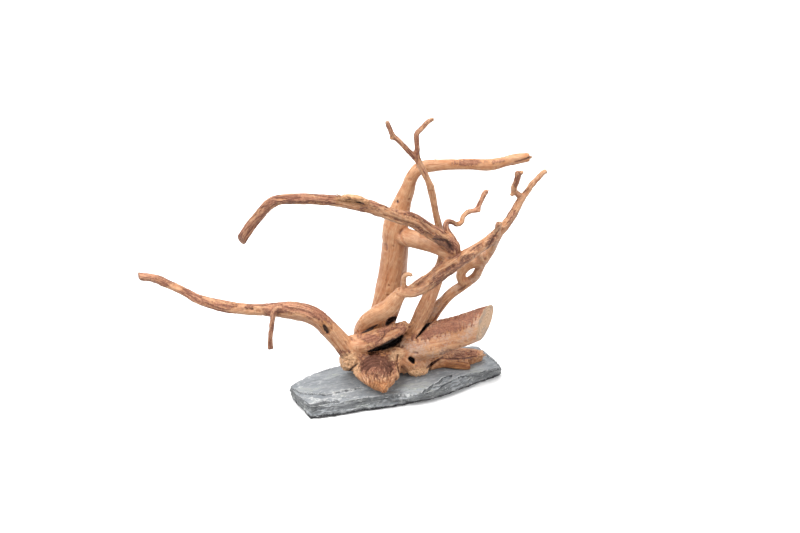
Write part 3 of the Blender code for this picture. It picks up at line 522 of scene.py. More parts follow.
def near_line(shown, stations):
    """How far each spot shows from a line of (across, up, width), in half widths of the line."""
    nearest = np.full(len(shown), 99.0)
    for (x, y, wide), (end_x, end_y, end_wide) in zip(stations, stations[1:]):
        start, run = np.array((x, y)), np.array((end_x - x, end_y - y))
        share = np.clip((shown - start) @ run / (run @ run), 0, 1)
        gap = np.linalg.norm(shown - start - share[:, None] * run, axis=1)
        nearest = np.minimum(nearest, gap / ((wide + (end_wide - wide) * share) / 2))
    return nearest


# Object handling

def only(*objects):
    """Selects these objects alone, with the first one active."""
    bpy.ops.object.select_all(action="DESELECT")
    for obj in objects:
        obj.select_set(True)
    bpy.context.view_layer.objects.active = objects[0]


def apply(obj, kind, **settings):
    """Adds a modifier with these settings to the object and applies it."""
    only(obj)
    bpy.ops.object.modifier_add(type=kind)
    step = obj.modifiers[-1]
    for name, value in settings.items():
        setattr(step, name, value)
    bpy.ops.object.modifier_apply(modifier=step.name)


def in_edit_mode(obj, *steps):
    """Runs edit-mode operators, each with its settings, on all of the object's mesh."""
    only(obj)
    bpy.ops.object.mode_set(mode="EDIT")
    bpy.ops.mesh.select_all(action="SELECT")
    for operator, settings in steps:
        operator(**settings)
    bpy.ops.object.mode_set(mode="OBJECT")


def joined(objects, name):
    only(*objects)
    if len(objects) > 1:
        bpy.ops.object.join()
    whole = bpy.context.view_layer.objects.active
    whole.name = name
    whole.data.name = name
    return whole


def cut(obj, cutter):
    """Takes the cutter out of the object and removes the cutter."""
    apply(obj, "BOOLEAN", operation="DIFFERENCE", solver="MANIFOLD", object=cutter)
    bpy.data.objects.remove(cutter)


def corners(obj):
    spots = np.empty(len(obj.data.vertices) * 3)
    obj.data.vertices.foreach_get("co", spots)
    return spots.reshape(-1, 3)


def normals(obj):
    facing = np.empty(len(obj.data.vertices) * 3)
    obj.data.vertex_normals.foreach_get("vector", facing)
    return facing.reshape(-1, 3)


def move_corners(obj, spots):
    obj.data.vertices.foreach_set("co", spots.ravel())
    obj.data.update()


def neighbour_mean(obj, values, rounds=1):
    """The values after each vertex has taken the mean of itself and its neighbours, some rounds over."""
    ends = np.empty(len(obj.data.edges) * 2, np.int64)
    obj.data.edges.foreach_get("vertices", ends)
    first, second = ends.reshape(-1, 2).T
    count = np.bincount(first, minlength=len(values)) + np.bincount(second, minlength=len(values))
    flat = values.reshape(len(values), -1)
    for _ in range(rounds):
        columns = [
            np.bincount(first, column[second], len(values)) + np.bincount(second, column[first], len(values))
            for column in flat.T
        ]
        flat = (flat + np.stack(columns, 1) / np.maximum(count, 1)[:, None]) / 2
    return flat.reshape(values.shape)


def bulge(obj, rounds):
    """How far each vertex stands out of its surroundings, in millimetres."""
    spots = corners(obj)
    return ((spots - neighbour_mean(obj, spots, rounds)) * normals(obj)).sum(1) / MM


def keep_values(obj, **named):
    """Stores numbers or vectors for the vertices under these names, for the material to read."""
    for name, values in named.items():
        kind, key = ("FLOAT", "value") if values.ndim == 1 else ("FLOAT_VECTOR", "vector")
        layer = obj.data.attributes.new(name, kind, "POINT")
        layer.data.foreach_set(key, values.astype(np.float32).ravel())


def thin(obj, triangles):
    """Collapses the mesh to about this many triangles."""
    now = sum(len(face.vertices) - 2 for face in obj.data.polygons)
    apply(obj, "DECIMATE", ratio=min(1, triangles / now), use_collapse_triangulate=True)


def smooth_shaded(obj, degrees):
    """Shades the object smooth, apart from edges sharper than an angle."""
    only(obj)
    bpy.ops.object.shade_smooth_by_angle(angle=math.radians(degrees))


def place_applied(obj):
    """Puts the object's place and turn into its mesh."""
    only(obj)
    bpy.ops.object.transform_apply(location=True, rotation=True, scale=True)
    return obj


def meshed(name, curve, level=0.0):
    """The curve as a closed mesh at a level, with its seams merged and its faces outwards."""
    obj = bpy.data.objects.new(name, curve)
    obj.location.z = level
    bpy.context.scene.collection.objects.link(obj)
    only(obj)
    bpy.ops.object.convert(target="MESH")
    in_edit_mode(
        place_applied(obj),
        (bpy.ops.mesh.remove_doubles, {"threshold": 0.01 * MM}),
        (bpy.ops.mesh.normals_make_consistent, {"inside": False}),
    )
    return obj


# Limbs as tubes and as lines

def lobed_section():
    """The outline that each limb is swept from: a round with shallow lobes."""
    curve = bpy.data.curves.new("branch_section", "CURVE")
    spline = curve.splines.new("POLY")
    spline.points.add(SECTION_POINTS - 1)
    for index, point in enumerate(spline.points):
        turn = 2 * math.pi * index / SECTION_POINTS
        radius = 1 + 0.055 * math.cos(2 * turn + 0.6) + 0.04 * math.cos(3 * turn)
        point.co = (radius * math.cos(turn) * MM, radius * math.sin(turn) * MM, 0, 1)
    spline.use_cyclic_u = True
    return bpy.data.objects.new("branch_section", curve)


def tube(name, stations, section):
    """A closed tube along a smooth line through the stations."""
    curve = bpy.data.curves.new(name, "CURVE")
    curve.dimensions = "3D"
    curve.resolution_u = 6
    curve.bevel_mode = "OBJECT"
    curve.bevel_object = section
    curve.use_fill_caps = True
    spline = curve.splines.new("BEZIER")
    spline.bezier_points.add(len(stations) - 1)
    spline.radius_interpolation = "CARDINAL"
    run = 0.0
    before = None
    for point, (across, up, back, thickness) in zip(spline.bezier_points, stations):
        spot, reach = place(across, up, back)
        run += (spot - before).length if before else 0.0
        before = spot
        point.co = spot
        point.radius = (thickness + max(0.0, SLENDER - thickness) * SLENDER_GAIN) / 2 * reach
        point.tilt = run * TWIST_PER_METRE
        point.handle_left_type = "AUTO"
        point.handle_right_type = "AUTO"
    return meshed(name, curve)


def limb_lines():
    """Every limb's centre line in short steps: point, radius, run, tangent, two sides, limb number."""
    rows = []
    for number, stations in enumerate(LIMBS.values()):
        placed = [place(*station[:3]) for station in stations]
        knots = np.array([[*spot, station[3] / 2 * MM * reach]
                          for (spot, reach), station in zip(placed, stations)])
        padded = np.vstack([2 * knots[0] - knots[1], knots, 2 * knots[-1] - knots[-2]])
        line = []
        for before, start, end, after in zip(padded, padded[1:], padded[2:], padded[3:]):
            steps = max(2, int(np.linalg.norm((end - start)[:3]) / SAMPLE_STEP))
            for share in np.arange(steps) / steps:
                line.append(0.5 * (2 * start + (end - before) * share
                                   + (2 * before - 5 * start + 4 * end - after) * share ** 2
                                   + (3 * start - before - 3 * end + after) * share ** 3))
        line = np.array(line + [knots[-1]])
        tangents = np.gradient(line[:, :3], axis=0)
        tangents /= np.linalg.norm(tangents, axis=1)[:, None]
        steps = np.linalg.norm(np.diff(line[:, :3], axis=0), axis=1)
        run = np.concatenate([[0], np.cumsum(steps)])
        side = Vector(tangents[0]).orthogonal().normalized()
        for index, tangent in enumerate(tangents):
            tangent = Vector(tangent)
            side = (side - tangent * side.dot(tangent)).normalized()
            flank = Matrix.Rotation(run[index] * GRAIN_TWIST, 3, tangent) @ side
            rows.append([*line[index], run[index], *tangent, *flank, *tangent.cross(flank), number])
    return np.array(rows)


class Grain:
    """For every spot, the two nearest limbs, their shares in it, and its place along each of them."""

    def __init__(self, spots, lines):
        self.spots = spots
        nearest = [np.empty(len(spots), np.int64) for _ in range(2)]
        gaps = [np.empty(len(spots)) for _ in range(2)]
        centres, radii, limb = lines[:, :3], lines[:, 3], lines[:, 14].astype(int)
        for start in range(0, len(spots), 4096):
            part = spots[start:start + 4096]
            squares = (part ** 2).sum(1)[:, None] + (centres ** 2).sum(1) - 2 * part @ centres.T
            gap = np.sqrt(np.maximum(squares, 0)) - radii
            for found, distance in zip(nearest, gaps):
                best = gap.argmin(1)
                found[start:start + 4096] = best
                distance[start:start + 4096] = gap[np.arange(len(part)), best]
                gap[limb[None, :] == limb[best][:, None]] = 1.0
        force = [np.exp(-np.clip(gap, -4 * MM, 20 * MM) / BLEND_REACH) for gap in gaps]
        self.share = force[1] / (force[0] + force[1])
        self.limb = [limb[found] for found in nearest]
        self.radius = self.blend([radii[found] for found in nearest]) / MM
        self.places = []
        for found in nearest:
            line = lines[found]
            offset = spots - line[:, :3]
            tangent, side, other = line[:, 5:8], line[:, 8:11], line[:, 11:14]
            along = line[:, 4] + (offset * tangent).sum(1)
            place_in = np.stack([(offset * side).sum(1), (offset * other).sum(1), along], 1)
            self.places.append(place_in / MM + line[:, 14:15] * LIMB_OFFSET)

    def blend(self, pair):
        return pair[0] * (1 - self.share) + pair[1] * self.share

    def streaks(self, across, along, seed, octaves=1):
        """Noise drawn out along the grain: its cells measure across and along, in millimetres."""
        cell = np.array([across, across, along])
        return self.blend([wander(place_in / cell, seed, octaves) for place_in in self.places])

    def skin(self, column):
        table = np.array([SKINS.get(name, PLAIN_SKIN)[column] for name in LIMBS])
        return self.blend([table[limb] for limb in self.limb])


# The root

def grown_root():
    """The limbs joined and grown together, smoothed where they flow into one another, and pressed."""
    section = lobed_section()
    root = joined([tube(name, stations, section) for name, stations in LIMBS.items()], "root_wood")
    bpy.data.objects.remove(section)
    apply(root, "REMESH", mode="VOXEL", voxel_size=GROW_VOXEL)
    spots = corners(root)
    share = patches(elevation(spots), FLOWING, 0.0) * ease(-(spots @ np.array(AWAY)) / MM, -34, -24)
    spots += (neighbour_mean(root, spots, FLOW_ROUNDS) - spots) * neighbour_mean(root, share, 4)[:, None]
    move_corners(root, spots)
    press(root)
    for spot, way, size in CUT_ENDS:
        cut(root, block("end_cut", place(*spot)[0], turned(*way), size))
    apply(root, "REMESH", mode="VOXEL", voxel_size=FINE_VOXEL)
    apply(root, "SMOOTH", factor=0.5, iterations=2)
    return root


def pressed(spots, front):
    """For each spot, how far the hollows and presses move it in millimetres, and how much painted shade
    darkens it.
    """
    shown, back = elevation(spots), spots @ np.array(AWAY) / MM
    ragged = wander(spots / (2.2 * MM), 15, 3) * 0.5
    depth, soot = np.zeros(len(spots)), np.zeros(len(spots))
    for surface, deep, dark, stations in PRESSES.values():
        inside = ease(1.5 - near_line(shown, stations) - ragged, 0.0, 0.9) * front
        inside *= ease(PRESS_TOLERANCE - np.abs(back - surface), 0, 4)
        depth = np.maximum(depth, inside * deep)
        soot = np.maximum(soot, inside * dark)
    for bottom, dark, stations in HOLLOWS.values():
        gap = near_line(shown, stations) + ragged
        inside = ease(1.35 - gap, 0.0, 0.5) * np.clip(bottom - back, 0, 40)
        depth = np.maximum(depth, inside * (front > 0.02))
        soot = np.maximum(soot, ease(1.9 - gap, 0.0, 0.9) * ease(bottom + 3 - back, 0, 2) * dark)
    return depth, soot


def press(root):
    """Pushes the hollows, cracks and creases into the wood along the line of sight."""
    spots, facing = corners(root), neighbour_mean(root, normals(root), 3)
    front = ease(-(facing @ np.array(SIGHT)), 0.0, 0.35)
    depth = neighbour_mean(root, pressed(spots, front)[0], 1)
    move_corners(root, spots + np.array(SIGHT) * (depth * MM)[:, None])


def surface_marks(shown, facing, grain):
    """Where bark, unbroken bark, stain, torn wood and crumbly wood lie, as numbers from 0 to 1."""
    spots = grain.spots / MM
    ragged = wander(spots / 2.4, 3, 2) * 0.34
    drip = wander(np.stack([shown[:, 0] / 1.3, shown[:, 1] / 9, shown[:, 0] * 0], 1), 17, 2) * 0.6
    front = ease(-(facing @ np.array(SIGHT)), -0.35, 0.25)
    cover = wander(spots / 13, 5, 2) * 0.7 + grain.streaks(3.0, 26, 6, 3) * 0.8
    slender = ease(-grain.radius, -5, -1.5) * 0.42
    bark = ease(cover + grain.skin(0) * 1.7 + slender - 0.95 + ragged * 0.4, -0.4, 0.6)
    solid = patches(shown, BARK_PATCHES, ragged * 0.6 + drip) * front
    bark = np.maximum(bark, solid)
    bark *= 1 - patches(shown, BARE_PATCHES, ragged * 0.5 + drip * 0.4) * front
    torn = patches(shown, TORN_PATCHES, ragged) * front
    rear = 1 - front
    low_down = SLAB_HEIGHT / MM - spots[:, 2] + ragged * 6
    torn = np.maximum(torn, ease(low_down + 6, 0, 5) * rear * 0.8)
    crumble = patches(shown, CRUMBLE_PATCHES, ragged) * front
    crumble = np.maximum(crumble, ease(low_down + 4, 0, 6) * rear * 0.6)
    stain = patches(shown, STAIN_PATCHES, ragged * 1.4) * front
    return bark * (1 - torn * 0.7), solid, stain, torn, crumble


def heel_pattern(spots, shown, facing):
    """The heel's arched ridges and, below them, its fibres that run to the tip: each from -1 to 1."""
    x, y = shown[:, 0] - ARCH_CENTRE[0], shown[:, 1] - ARCH_CENTRE[1]
    drift = wander(spots / (6 * MM), 27, 2)
    reach = np.hypot(x, y * 1.1) + drift * 3.0
    on_heel = ease(-(facing @ np.array(SIGHT)), 0.1, 0.5) * ease(-(spots @ np.array(AWAY)) / MM, 0, 8)
    patchy = ease(wander(spots / (4 * MM), 33, 2), -0.9, 0.1)
    arches = np.sin(reach * 2 * math.pi / ARCH_PITCH) * ease(ARCH_REACH - np.hypot(x, y), 0, 5)
    arches *= ease(np.hypot(x, y), 4, 8)
    fibres = np.sin(np.arctan2(x, y + 34) * 60 + drift * 4) * ease(-y, -1, 5) * (np.abs(x) < 22) * (y > -26)
    return arches * on_heel * ease(y + x * 0.15, -3, 4) * patchy, fibres * on_heel * patchy


def carve(root, lines):
    """Gives the wood its relief: swellings, flutes, ridges, bark, the heel's arches, crumbs and knots."""
    spots, facing = corners(root), neighbour_mean(root, normals(root), 4)
    grain = Grain(spots, lines)
    shown = elevation(spots)
    bark, _, stain, torn, crumble = surface_marks(shown, facing, grain)
    thick = grain.radius
    bony = grain.skin(3)
    height = wander(spots / (15 * MM), 21, 3) * 0.6 * np.minimum(1, thick / 8)
    height += grain.streaks(4.2, 48, 22, 2) * 1.1 * np.minimum(1, thick / 9) * (1 - bony * 0.88)
    flutes = grain.streaks(1.7, 18, 23, 2) * 0.55 * np.minimum(1, thick / 4)
    height += flutes * (1 + torn) * (1 - bony * 0.82)
    height += ease(bark, 0.35, 0.6) * 0.3 * np.minimum(1, thick / 5)
    height += bark * grain.streaks(1.2, 5, 24, 2) * 0.4 * np.minimum(1, thick / 3)
    height += wander(spots / (4.5 * MM), 29, 2) * 0.6 * (1 - bony) * np.minimum(1, 3 / thick)
    height += crumble * wander(spots / (1.9 * MM), 25, 2) * 1.7
    height -= stain * ease(wander(spots / (2.6 * MM), 26, 2), -0.1, 0.4) * 0.7 * np.minimum(1, thick / 4)
    arches, fibres = heel_pattern(spots, shown, facing)
    height += arches * 0.9 + fibres * 0.5
    pits = ease(wander(spots / (5.2 * MM), 28), 0.62, 0.86) * np.minimum(1, thick / 8)
    height -= pits * 0.8
    for across, up, back, size in KNOTS:
        spot, _ = place(across, up, back)
        away = np.linalg.norm(spots - np.array(spot), axis=1) / (size * MM)
        height += (np.exp(-(away / 0.8) ** 2) * 0.32 - np.exp(-(away / 0.3) ** 2) * 0.5) * size * 0.7
    facing /= np.linalg.norm(facing, axis=1)[:, None]
    move_corners(root, spots + facing * (height * MM)[:, None])


def finish_root(root, lines):
    """Saws the stub, flattens the feet, thins the mesh and stores what the wood's material reads."""
    apply(root, "SMOOTH", factor=0.5, iterations=1)
    thin(root, ROOT_TRIANGLES)
    face_point, _ = place(*SAWN_POINT)
    outward = turned(*SAWN_FACING)
    cut(root, block("saw_cut", face_point, outward, SAW_BLOCK))
    cut(root, block("seat_cut", Vector((0, 0, SEAT_HEIGHT)), Vector((0, 0, -1)), SEAT_BLOCK))
    low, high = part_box("spiderwood_root")
    spots = np.clip(corners(root), np.array(low) + 0.05 * MM, np.array(high) - 0.05 * MM)
    nearer = ease(-(spots @ np.array(AWAY)) / MM, 17, 28)
    spots[:, 2] = np.maximum(spots[:, 2], SEAT_HEIGHT + nearer * HEEL_LIFT)
    move_corners(root, spots)
    smooth_shaded(root, SMOOTH_WOOD)

    facing = normals(root)
    grain = Grain(spots, lines)
    shown = elevation(spots)
    bark, solid, stain, torn, crumble = surface_marks(shown, facing, grain)
    # Painted shade at the bottoms of hollows, cracks and creases
    soot = pressed(spots, ease(-(facing @ np.array(SIGHT)), -0.6, 0.1))[1]
    off_face = (spots - np.array(face_point)) @ np.array(outward) / MM
    centre = np.linalg.norm(spots - np.array(face_point), axis=1) / MM
    sawn = ease(-np.abs(off_face), -0.35, -0.1) * (centre < 24)
    fine, wide = bulge(root, 2), bulge(root, 12)
    arches, fibres = heel_pattern(spots, shown, facing)
    # Painted shade: darker in small and wide recesses and where two limbs meet, together with the heel's own
    # dark arch and fibre lines in their valleys
    dirt = ease(-fine, 0.02, 0.16) * 0.5 * (1 - torn * 0.5) + ease(grain.share, 0.3, 0.5) * 0.25
    dirt += ease(-arches, -0.1, 0.6) * 1.1 + ease(-fibres, 0.3, 0.9) * 0.3
    dirt += ease(-wide, 0.15, 1.1) * (1 - torn * 0.5)
    keep_values(
        root,
        grain=grain.places[0],
        seam=ease(grain.share, 0.25, 0.5),
        bark=bark * (1 - sawn),
        solid=solid,
        stain=stain,
        torn=torn,
        crumbs=crumble,
        sawn=sawn,
        # painted shade in recesses and between limbs, with the heel's own dark lines
        dirt=np.clip(neighbour_mean(root, dirt, 2), 0, 1),
        soot=np.clip(neighbour_mean(root, soot, 1), 0, 1),
        # painted highlight on ridges and edges
        ridge=ease(fine, -0.01, 0.1),
        warm=grain.skin(1),
        bare=grain.skin(3),
        grey=grain.skin(2),
    )


def block(name, top, facing, size):
    """A cube whose near face is centred on a point and that reaches away along a direction."""
    bpy.ops.object.select_all(action="DESELECT")
    bpy.ops.mesh.primitive_cube_add(size=size, location=top + facing * size / 2)
    obj = bpy.context.view_layer.objects.active
    obj.name = name
    obj.rotation_euler = facing.to_track_quat("Z", "Y").to_euler()
    return place_applied(obj)


def make_root(wood):
    lines = limb_lines()
    root = grown_root()
    carve(root, lines)
    finish_root(root, lines)
    wear(root, wood, "spiderwood_root")
    return root


# The slab

def slab_outline(height):
    """The slab's outline at a height, between the two given outlines that lie below and above it."""
    for (low, lower), (high, upper) in zip(SLAB_LEVELS, SLAB_LEVELS[1:]):
        if height <= high:
            break
    share = (height - low) / (high - low)
    return [
        place_level(*start, low).lerp(place_level(*end, high), share).to_2d()
        for start, end in zip(lower, upper)
    ]


def broken_outline(height, seed, inset):
    """The outline in short steps, drawn in a little and its edge broken by noise at three sizes."""
    outline = slab_outline(height)
    points = []
    for start, end in zip(outline, outline[1:] + outline[:1]):
        run = end - start
        outward = Vector((run.y, -run.x)).normalized()
        steps = max(2, int(run.length / OUTLINE_STEP))
        for step in range(steps):
            spot = start + run * step / steps
            cells = np.array([[spot.x, spot.y, 0.0]]) / MM
            depth = wander(cells / 16 + seed * 5.0, 40 + seed)[0] * 1.3
            depth += wander(cells / 5 + seed * 3.0, 60 + seed)[0] * 0.8
            depth += wander(cells / 1.9, 80 + seed)[0] * 0.4
            points.append(spot + outward * (depth - inset) * MM)
    return points


def leaf(name, points, low, high):
    """One leaf of slate: a flat outline drawn up to its thickness."""
    curve = bpy.data.curves.new(name, "CURVE")
    curve.dimensions = "2D"
    curve.fill_mode = "BOTH"
    curve.extrude = (high - low) / 2 * MM
    spline = curve.splines.new("POLY")
    spline.points.add(len(points) - 1)
    for point, spot in zip(spline.points, points):
        point.co = (spot.x, spot.y, 0, 1)
    spline.use_cyclic_u = True
    return meshed(name, curve, (high + low) / 2 * MM)


def cleave(slab):
    """Gives the slab its cleft top, its strata and its worn edges."""
    spots, facing = corners(slab), normals(slab)
    cells = spots / MM
    along = cells @ np.array(Matrix.Rotation(math.radians(-6), 3, "Z"))
    up, side = ease(facing[:, 2], 0.5, 0.85), ease(1 - np.abs(facing[:, 2]), 0.3, 0.7)
    height = wander(along / np.array([62, 21, 40]), 50, 2) * 1.5
    height += wander(along / np.array([17, 6, 40]), 51, 2) * 0.42
    step = 0.42
    stepped = (np.floor(height / step) + ease(height / step % 1, 0.35, 0.62)) * step
    grit = wander(along / np.array([3.4, 1.5, 3]), 52, 2) * 0.08
    drop = np.clip(stepped - 1.0, -1.5, 0) + grit
    shown = elevation(spots)
    under_root = ease(patches(shown, [(-14, 24, 50, 16, 0, 1), (50, 28, 40, 10, 0, 1)], 0.0), 0, 0.6)
    drop *= 1 - 0.85 * under_root
    high_up = ease(cells[:, 2], 8, 12)
    for deep, ledge, line in CLEFTS:
        crack, nearer = cleft(shown, line)
        drop -= crack * deep * high_up + nearer * ledge * high_up * (1 - under_root)
    spots[:, 2] += up * drop * MM
    strata = wander(cells / np.array([12, 12, 1.6]), 53, 2) * 0.4
    strata += wander(cells / np.array([4, 4, 3]), 54, 3) * 0.6
    spots += facing * (side * strata * MM)[:, None]
    low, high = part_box("slate_slab")
    move_corners(slab, np.clip(spots, np.array(low), np.array(high)))


def cleft(shown, line):
    """How deep in a crack each spot lies, and how much it lies on the ledge just nearer than it."""
    cells = np.stack([shown[:, 0] / 5, shown[:, 1] / 5, shown[:, 0] * 0], 1)
    wavy = shown + wander(cells, 70, 3)[:, None] * 0.9
    gap = near_line(wavy, [(x, y, 2 * CLEFT_WIDTH) for x, y in line])
    line = np.array(line)
    below = np.interp(wavy[:, 0], line[:, 0], line[:, 1]) - wavy[:, 1]
    first, last = line[0, 0], line[-1, 0]
    inside = ease(wavy[:, 0], first - 1, first + 4) * ease(-wavy[:, 0], -last - 1, 4 - last)
    return ease(1.2 - gap, 0, 1), ease(below, -0.2, 0.7) * ease(-below, -26, -7) * inside


def make_slab(slate):
    bottom = 0.0
    leaves = []
    for index, top in enumerate(LEAF_TOPS):
        below = LEAF_TOPS[index - 1] if index else 0.0
        level = top if top == LEAF_TOPS[-1] else (top + below) / 2
        inset = FOOT_INSETS[index] if index < len(FOOT_INSETS) else 0.0
        leaves.append(leaf(f"leaf_{index}", broken_outline(level, index, inset), bottom, top))
        bottom = top - LEAF_LAP
    slab = joined(leaves, "slate_stone")
    apply(slab, "REMESH", mode="VOXEL", voxel_size=SLATE_VOXEL)
    apply(slab, "SMOOTH", factor=0.5, iterations=1)
    cleave(slab)
    low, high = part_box("mounting_screw")
    centre, radius = (low + high) / 2, (high.x - low.x) / 2 + BORE_GAP
    bpy.ops.object.select_all(action="DESELECT")
    bpy.ops.mesh.primitive_cylinder_add(
        vertices=48, radius=radius, depth=8 * MM, location=(centre.x, centre.y, 0))
    cut(slab, bpy.context.view_layer.objects.active)
    thin(slab, SLATE_TRIANGLES)
    smooth_shaded(slab, SMOOTH_SLATE)
    fine = bulge(slab, 2)
    shown, upward = elevation(corners(slab)), normals(slab)[:, 2]
    # Painted shade: dark in the cracks and in hollows of the surface, stored as crack
    cracks = sum(cleft(shown, line)[0] * min(1, deep) for deep, _, line in CLEFTS)
    dark = ease(-fine, 0.06, 0.34) * 0.7 + cracks * ease(upward, 0.1, 0.5)
    keep_values(
        slab,
        edge=ease(fine, 0.03, 0.22),
        crack=np.clip(dark, 0, 1),
        scuff=patches(shown, SCUFFED, 0.0) * ease(upward, -0.1, 0.3),
    )
    wear(slab, slate, "slate_slab")


# Splinters

def splinters(root, wood):
    """Small torn fibres at the broken ends and along the crumbled rims, as bent slivers."""
    source = random.Random(SPLINTER_SEED)
    made = []
    low, high = (np.array(corner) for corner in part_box("spiderwood_root"))
    for (across, up, back), heading, count, length, width, spread in SPLINTERS:
        for _ in range(count):
            lean = Vector(heading) + Vector([source.uniform(-0.45, 0.45) for _ in range(3)])
            way = (ACROSS * lean.x + LINE_UP * lean.y + AWAY * lean.z).normalized()
            shift = [source.uniform(-1, 1) * spread * part for part in (1.0, 0.25, 0.5)]
            spot, _ = place(across + shift[0], up + shift[1], back + shift[2])
            held, towards, _, gap = root.closest_point_on_mesh(spot)
            if not held or (towards - spot).length > 6 * MM:
                continue
            size = source.uniform(0.6, 1.2)
            start = towards - way * 1.2 * MM
            tip = start + way * (length * size + 1.2) * MM
            tip_inside = np.clip(np.array(tip), low + 0.2 * MM, high - 0.2 * MM)
            made.append(sliver(start, Vector(tip_inside), width * size * MM, source.uniform(0, 6.28)))
    torn = joined(made, "torn_splinters")
    looks = dict.fromkeys(("seam", "bark", "solid", "stain", "sawn", "soot", "bare"), 0.0)
    # The slivers carry a little painted shade and a painted highlight
    looks.update(torn=0.85, crumbs=0.6, dirt=0.1, ridge=0.4, warm=0.5, grey=0.1)
    for name, value in looks.items():
        keep_values(torn, **{name: np.full(len(torn.data.vertices), value)})
    keep_values(torn, grain=corners(torn) / MM)
    wear(torn, wood)


def sliver(start, tip, width, turn):
    """A tapered four-sided sliver with a slight bend."""
    way = tip - start
    bpy.ops.object.select_all(action="DESELECT")
    bpy.ops.mesh.primitive_cone_add(
        vertices=4, radius1=width, radius2=width * 0.15, depth=way.length, location=(0, 0, 0))
    obj = bpy.context.view_layer.objects.active
    in_edit_mode(obj, (bpy.ops.mesh.subdivide, {"number_cuts": 1}))
    for vertex in obj.data.vertices:
        share = vertex.co.z / way.length + 0.5
        vertex.co.x += math.sin(share * math.pi) * way.length * 0.08
        vertex.co.y *= 0.55
    along = way.to_track_quat("Z", "Y").to_matrix()
    obj.rotation_euler = (along @ Matrix.Rotation(turn, 3, "Z")).to_euler()
    obj.location = (start + tip) / 2
    return place_applied(obj)


def wear(obj, finish, node=None):
    """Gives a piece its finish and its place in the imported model, where it may replace a node."""
    obj.data.materials.clear()
    obj.data.materials.append(finish)
    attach(obj, "root")
    if node:
        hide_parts(node)


# Materials

def shade(red, green, blue):
    """A colour as the eye reads it, from 0 to 255, in the renderer's linear values."""
    parts = [part / 255 for part in (red, green, blue)]
    return (*[((part + 0.055) / 1.055) ** 2.4 if part > 0.04 else part / 12.92 for part in parts], 1)


class Value:
    """A number that varies over the surface: arithmetic on it adds Math nodes."""

    def __init__(self, finish, socket):
        self.finish, self.socket = finish, socket

    def math(self, operation, *inputs):
        node = self.finish.node("ShaderNodeMath", {"operation": operation}, dict(enumerate(inputs)))
        return Value(self.finish, node.outputs[0])

    def __add__(self, other):
        return self.math("ADD", self, other)

    def __sub__(self, other):
        return self.math("SUBTRACT", self, other)

    def __rsub__(self, other):
        return self.math("SUBTRACT", other, self)

    def __mul__(self, other):
        return self.math("MULTIPLY", self, other)

    def __pow__(self, other):
        return self.math("POWER", self, other)

    def sine(self):
        return self.math("SINE", self)

    def most(self, other):
        return self.math("MAXIMUM", self, other)

    def between(self, low, high, start=0.0, end=1.0):
        """start below low, end above high, and smooth between them."""
        sockets = {0: self, 1: low, 2: high, 3: start, 4: end}
        node = self.finish.node("ShaderNodeMapRange", {"interpolation_type": "SMOOTHSTEP"}, sockets)
        return Value(self.finish, node.outputs[0])

    __radd__ = __add__
    __rmul__ = __mul__


class Finish:
    """A material under construction."""

    def __init__(self, name, **plain):
        self.material = bpy.data.materials.new(name)
        self.material.use_nodes = True
        self.tree = self.material.node_tree
        self.shader = self.tree.nodes["Principled BSDF"]
        for socket, value in plain.items():
            self.shader.inputs[socket.replace("_", " ")].default_value = value

    def node(self, kind, settings, sockets):
        """Adds a node of a kind, with its settings first and then its sockets' values or links."""
        node = self.tree.nodes.new(kind)
        for name, value in settings.items():
            setattr(node, name, value)
        for key, value in sockets.items():
            value = value.socket if isinstance(value, Value) else value
            if isinstance(value, bpy.types.NodeSocket):
                self.tree.links.new(value, node.inputs[key])
            else:
                node.inputs[key].default_value = value
        return node

    def attribute(self, name):
        node = self.node("ShaderNodeAttribute", {"attribute_name": name}, {})
        return Value(self, node.outputs["Fac"])

    def vector_attribute(self, name):
        return self.node("ShaderNodeAttribute", {"attribute_name": name}, {}).outputs["Vector"]

    def object_place(self, *cells):
        """Object coordinates in cells of these sizes in millimetres."""
        place_in = self.node("ShaderNodeTexCoord", {}, {}).outputs["Object"]
        return self.stretched(place_in, [1 / (cell * MM) for cell in cells])

    def stretched(self, place_in, by):
        node = self.node("ShaderNodeVectorMath", {"operation": "MULTIPLY"}, {0: place_in, 1: tuple(by)})
        return node.outputs[0]

    def noise(self, place_in, detail=2.0, roughness=0.5, distortion=0.0):
        sockets = {"Detail": detail, "Roughness": roughness, "Distortion": distortion}
        node = self.node("ShaderNodeTexNoise", {}, {"Vector": place_in, "Scale": 1.0, **sockets})
        return Value(self, node.outputs["Fac"])

    def parts(self, vector):
        """The x, y and z of a vector."""
        node = self.node("ShaderNodeSeparateXYZ", {}, {0: vector})
        return [Value(self, output) for output in node.outputs]

    def mix(self, share, under, over):
        node = self.node("ShaderNodeMix", {"data_type": "RGBA"}, {0: share, 6: under, 7: over})
        return node.outputs[2]

    def done(self, colour, roughness, height, depth):
        """Connects colour, roughness and relief, and returns the material."""
        bump = self.node("ShaderNodeBump", {}, {"Height": height, "Distance": depth, "Strength": 1.0})
        self.tree.links.new(colour, self.shader.inputs["Base Color"])
        self.tree.links.new(roughness.socket, self.shader.inputs["Roughness"])
        self.tree.links.new(bump.outputs[0], self.shader.inputs["Normal"])
        return self.material


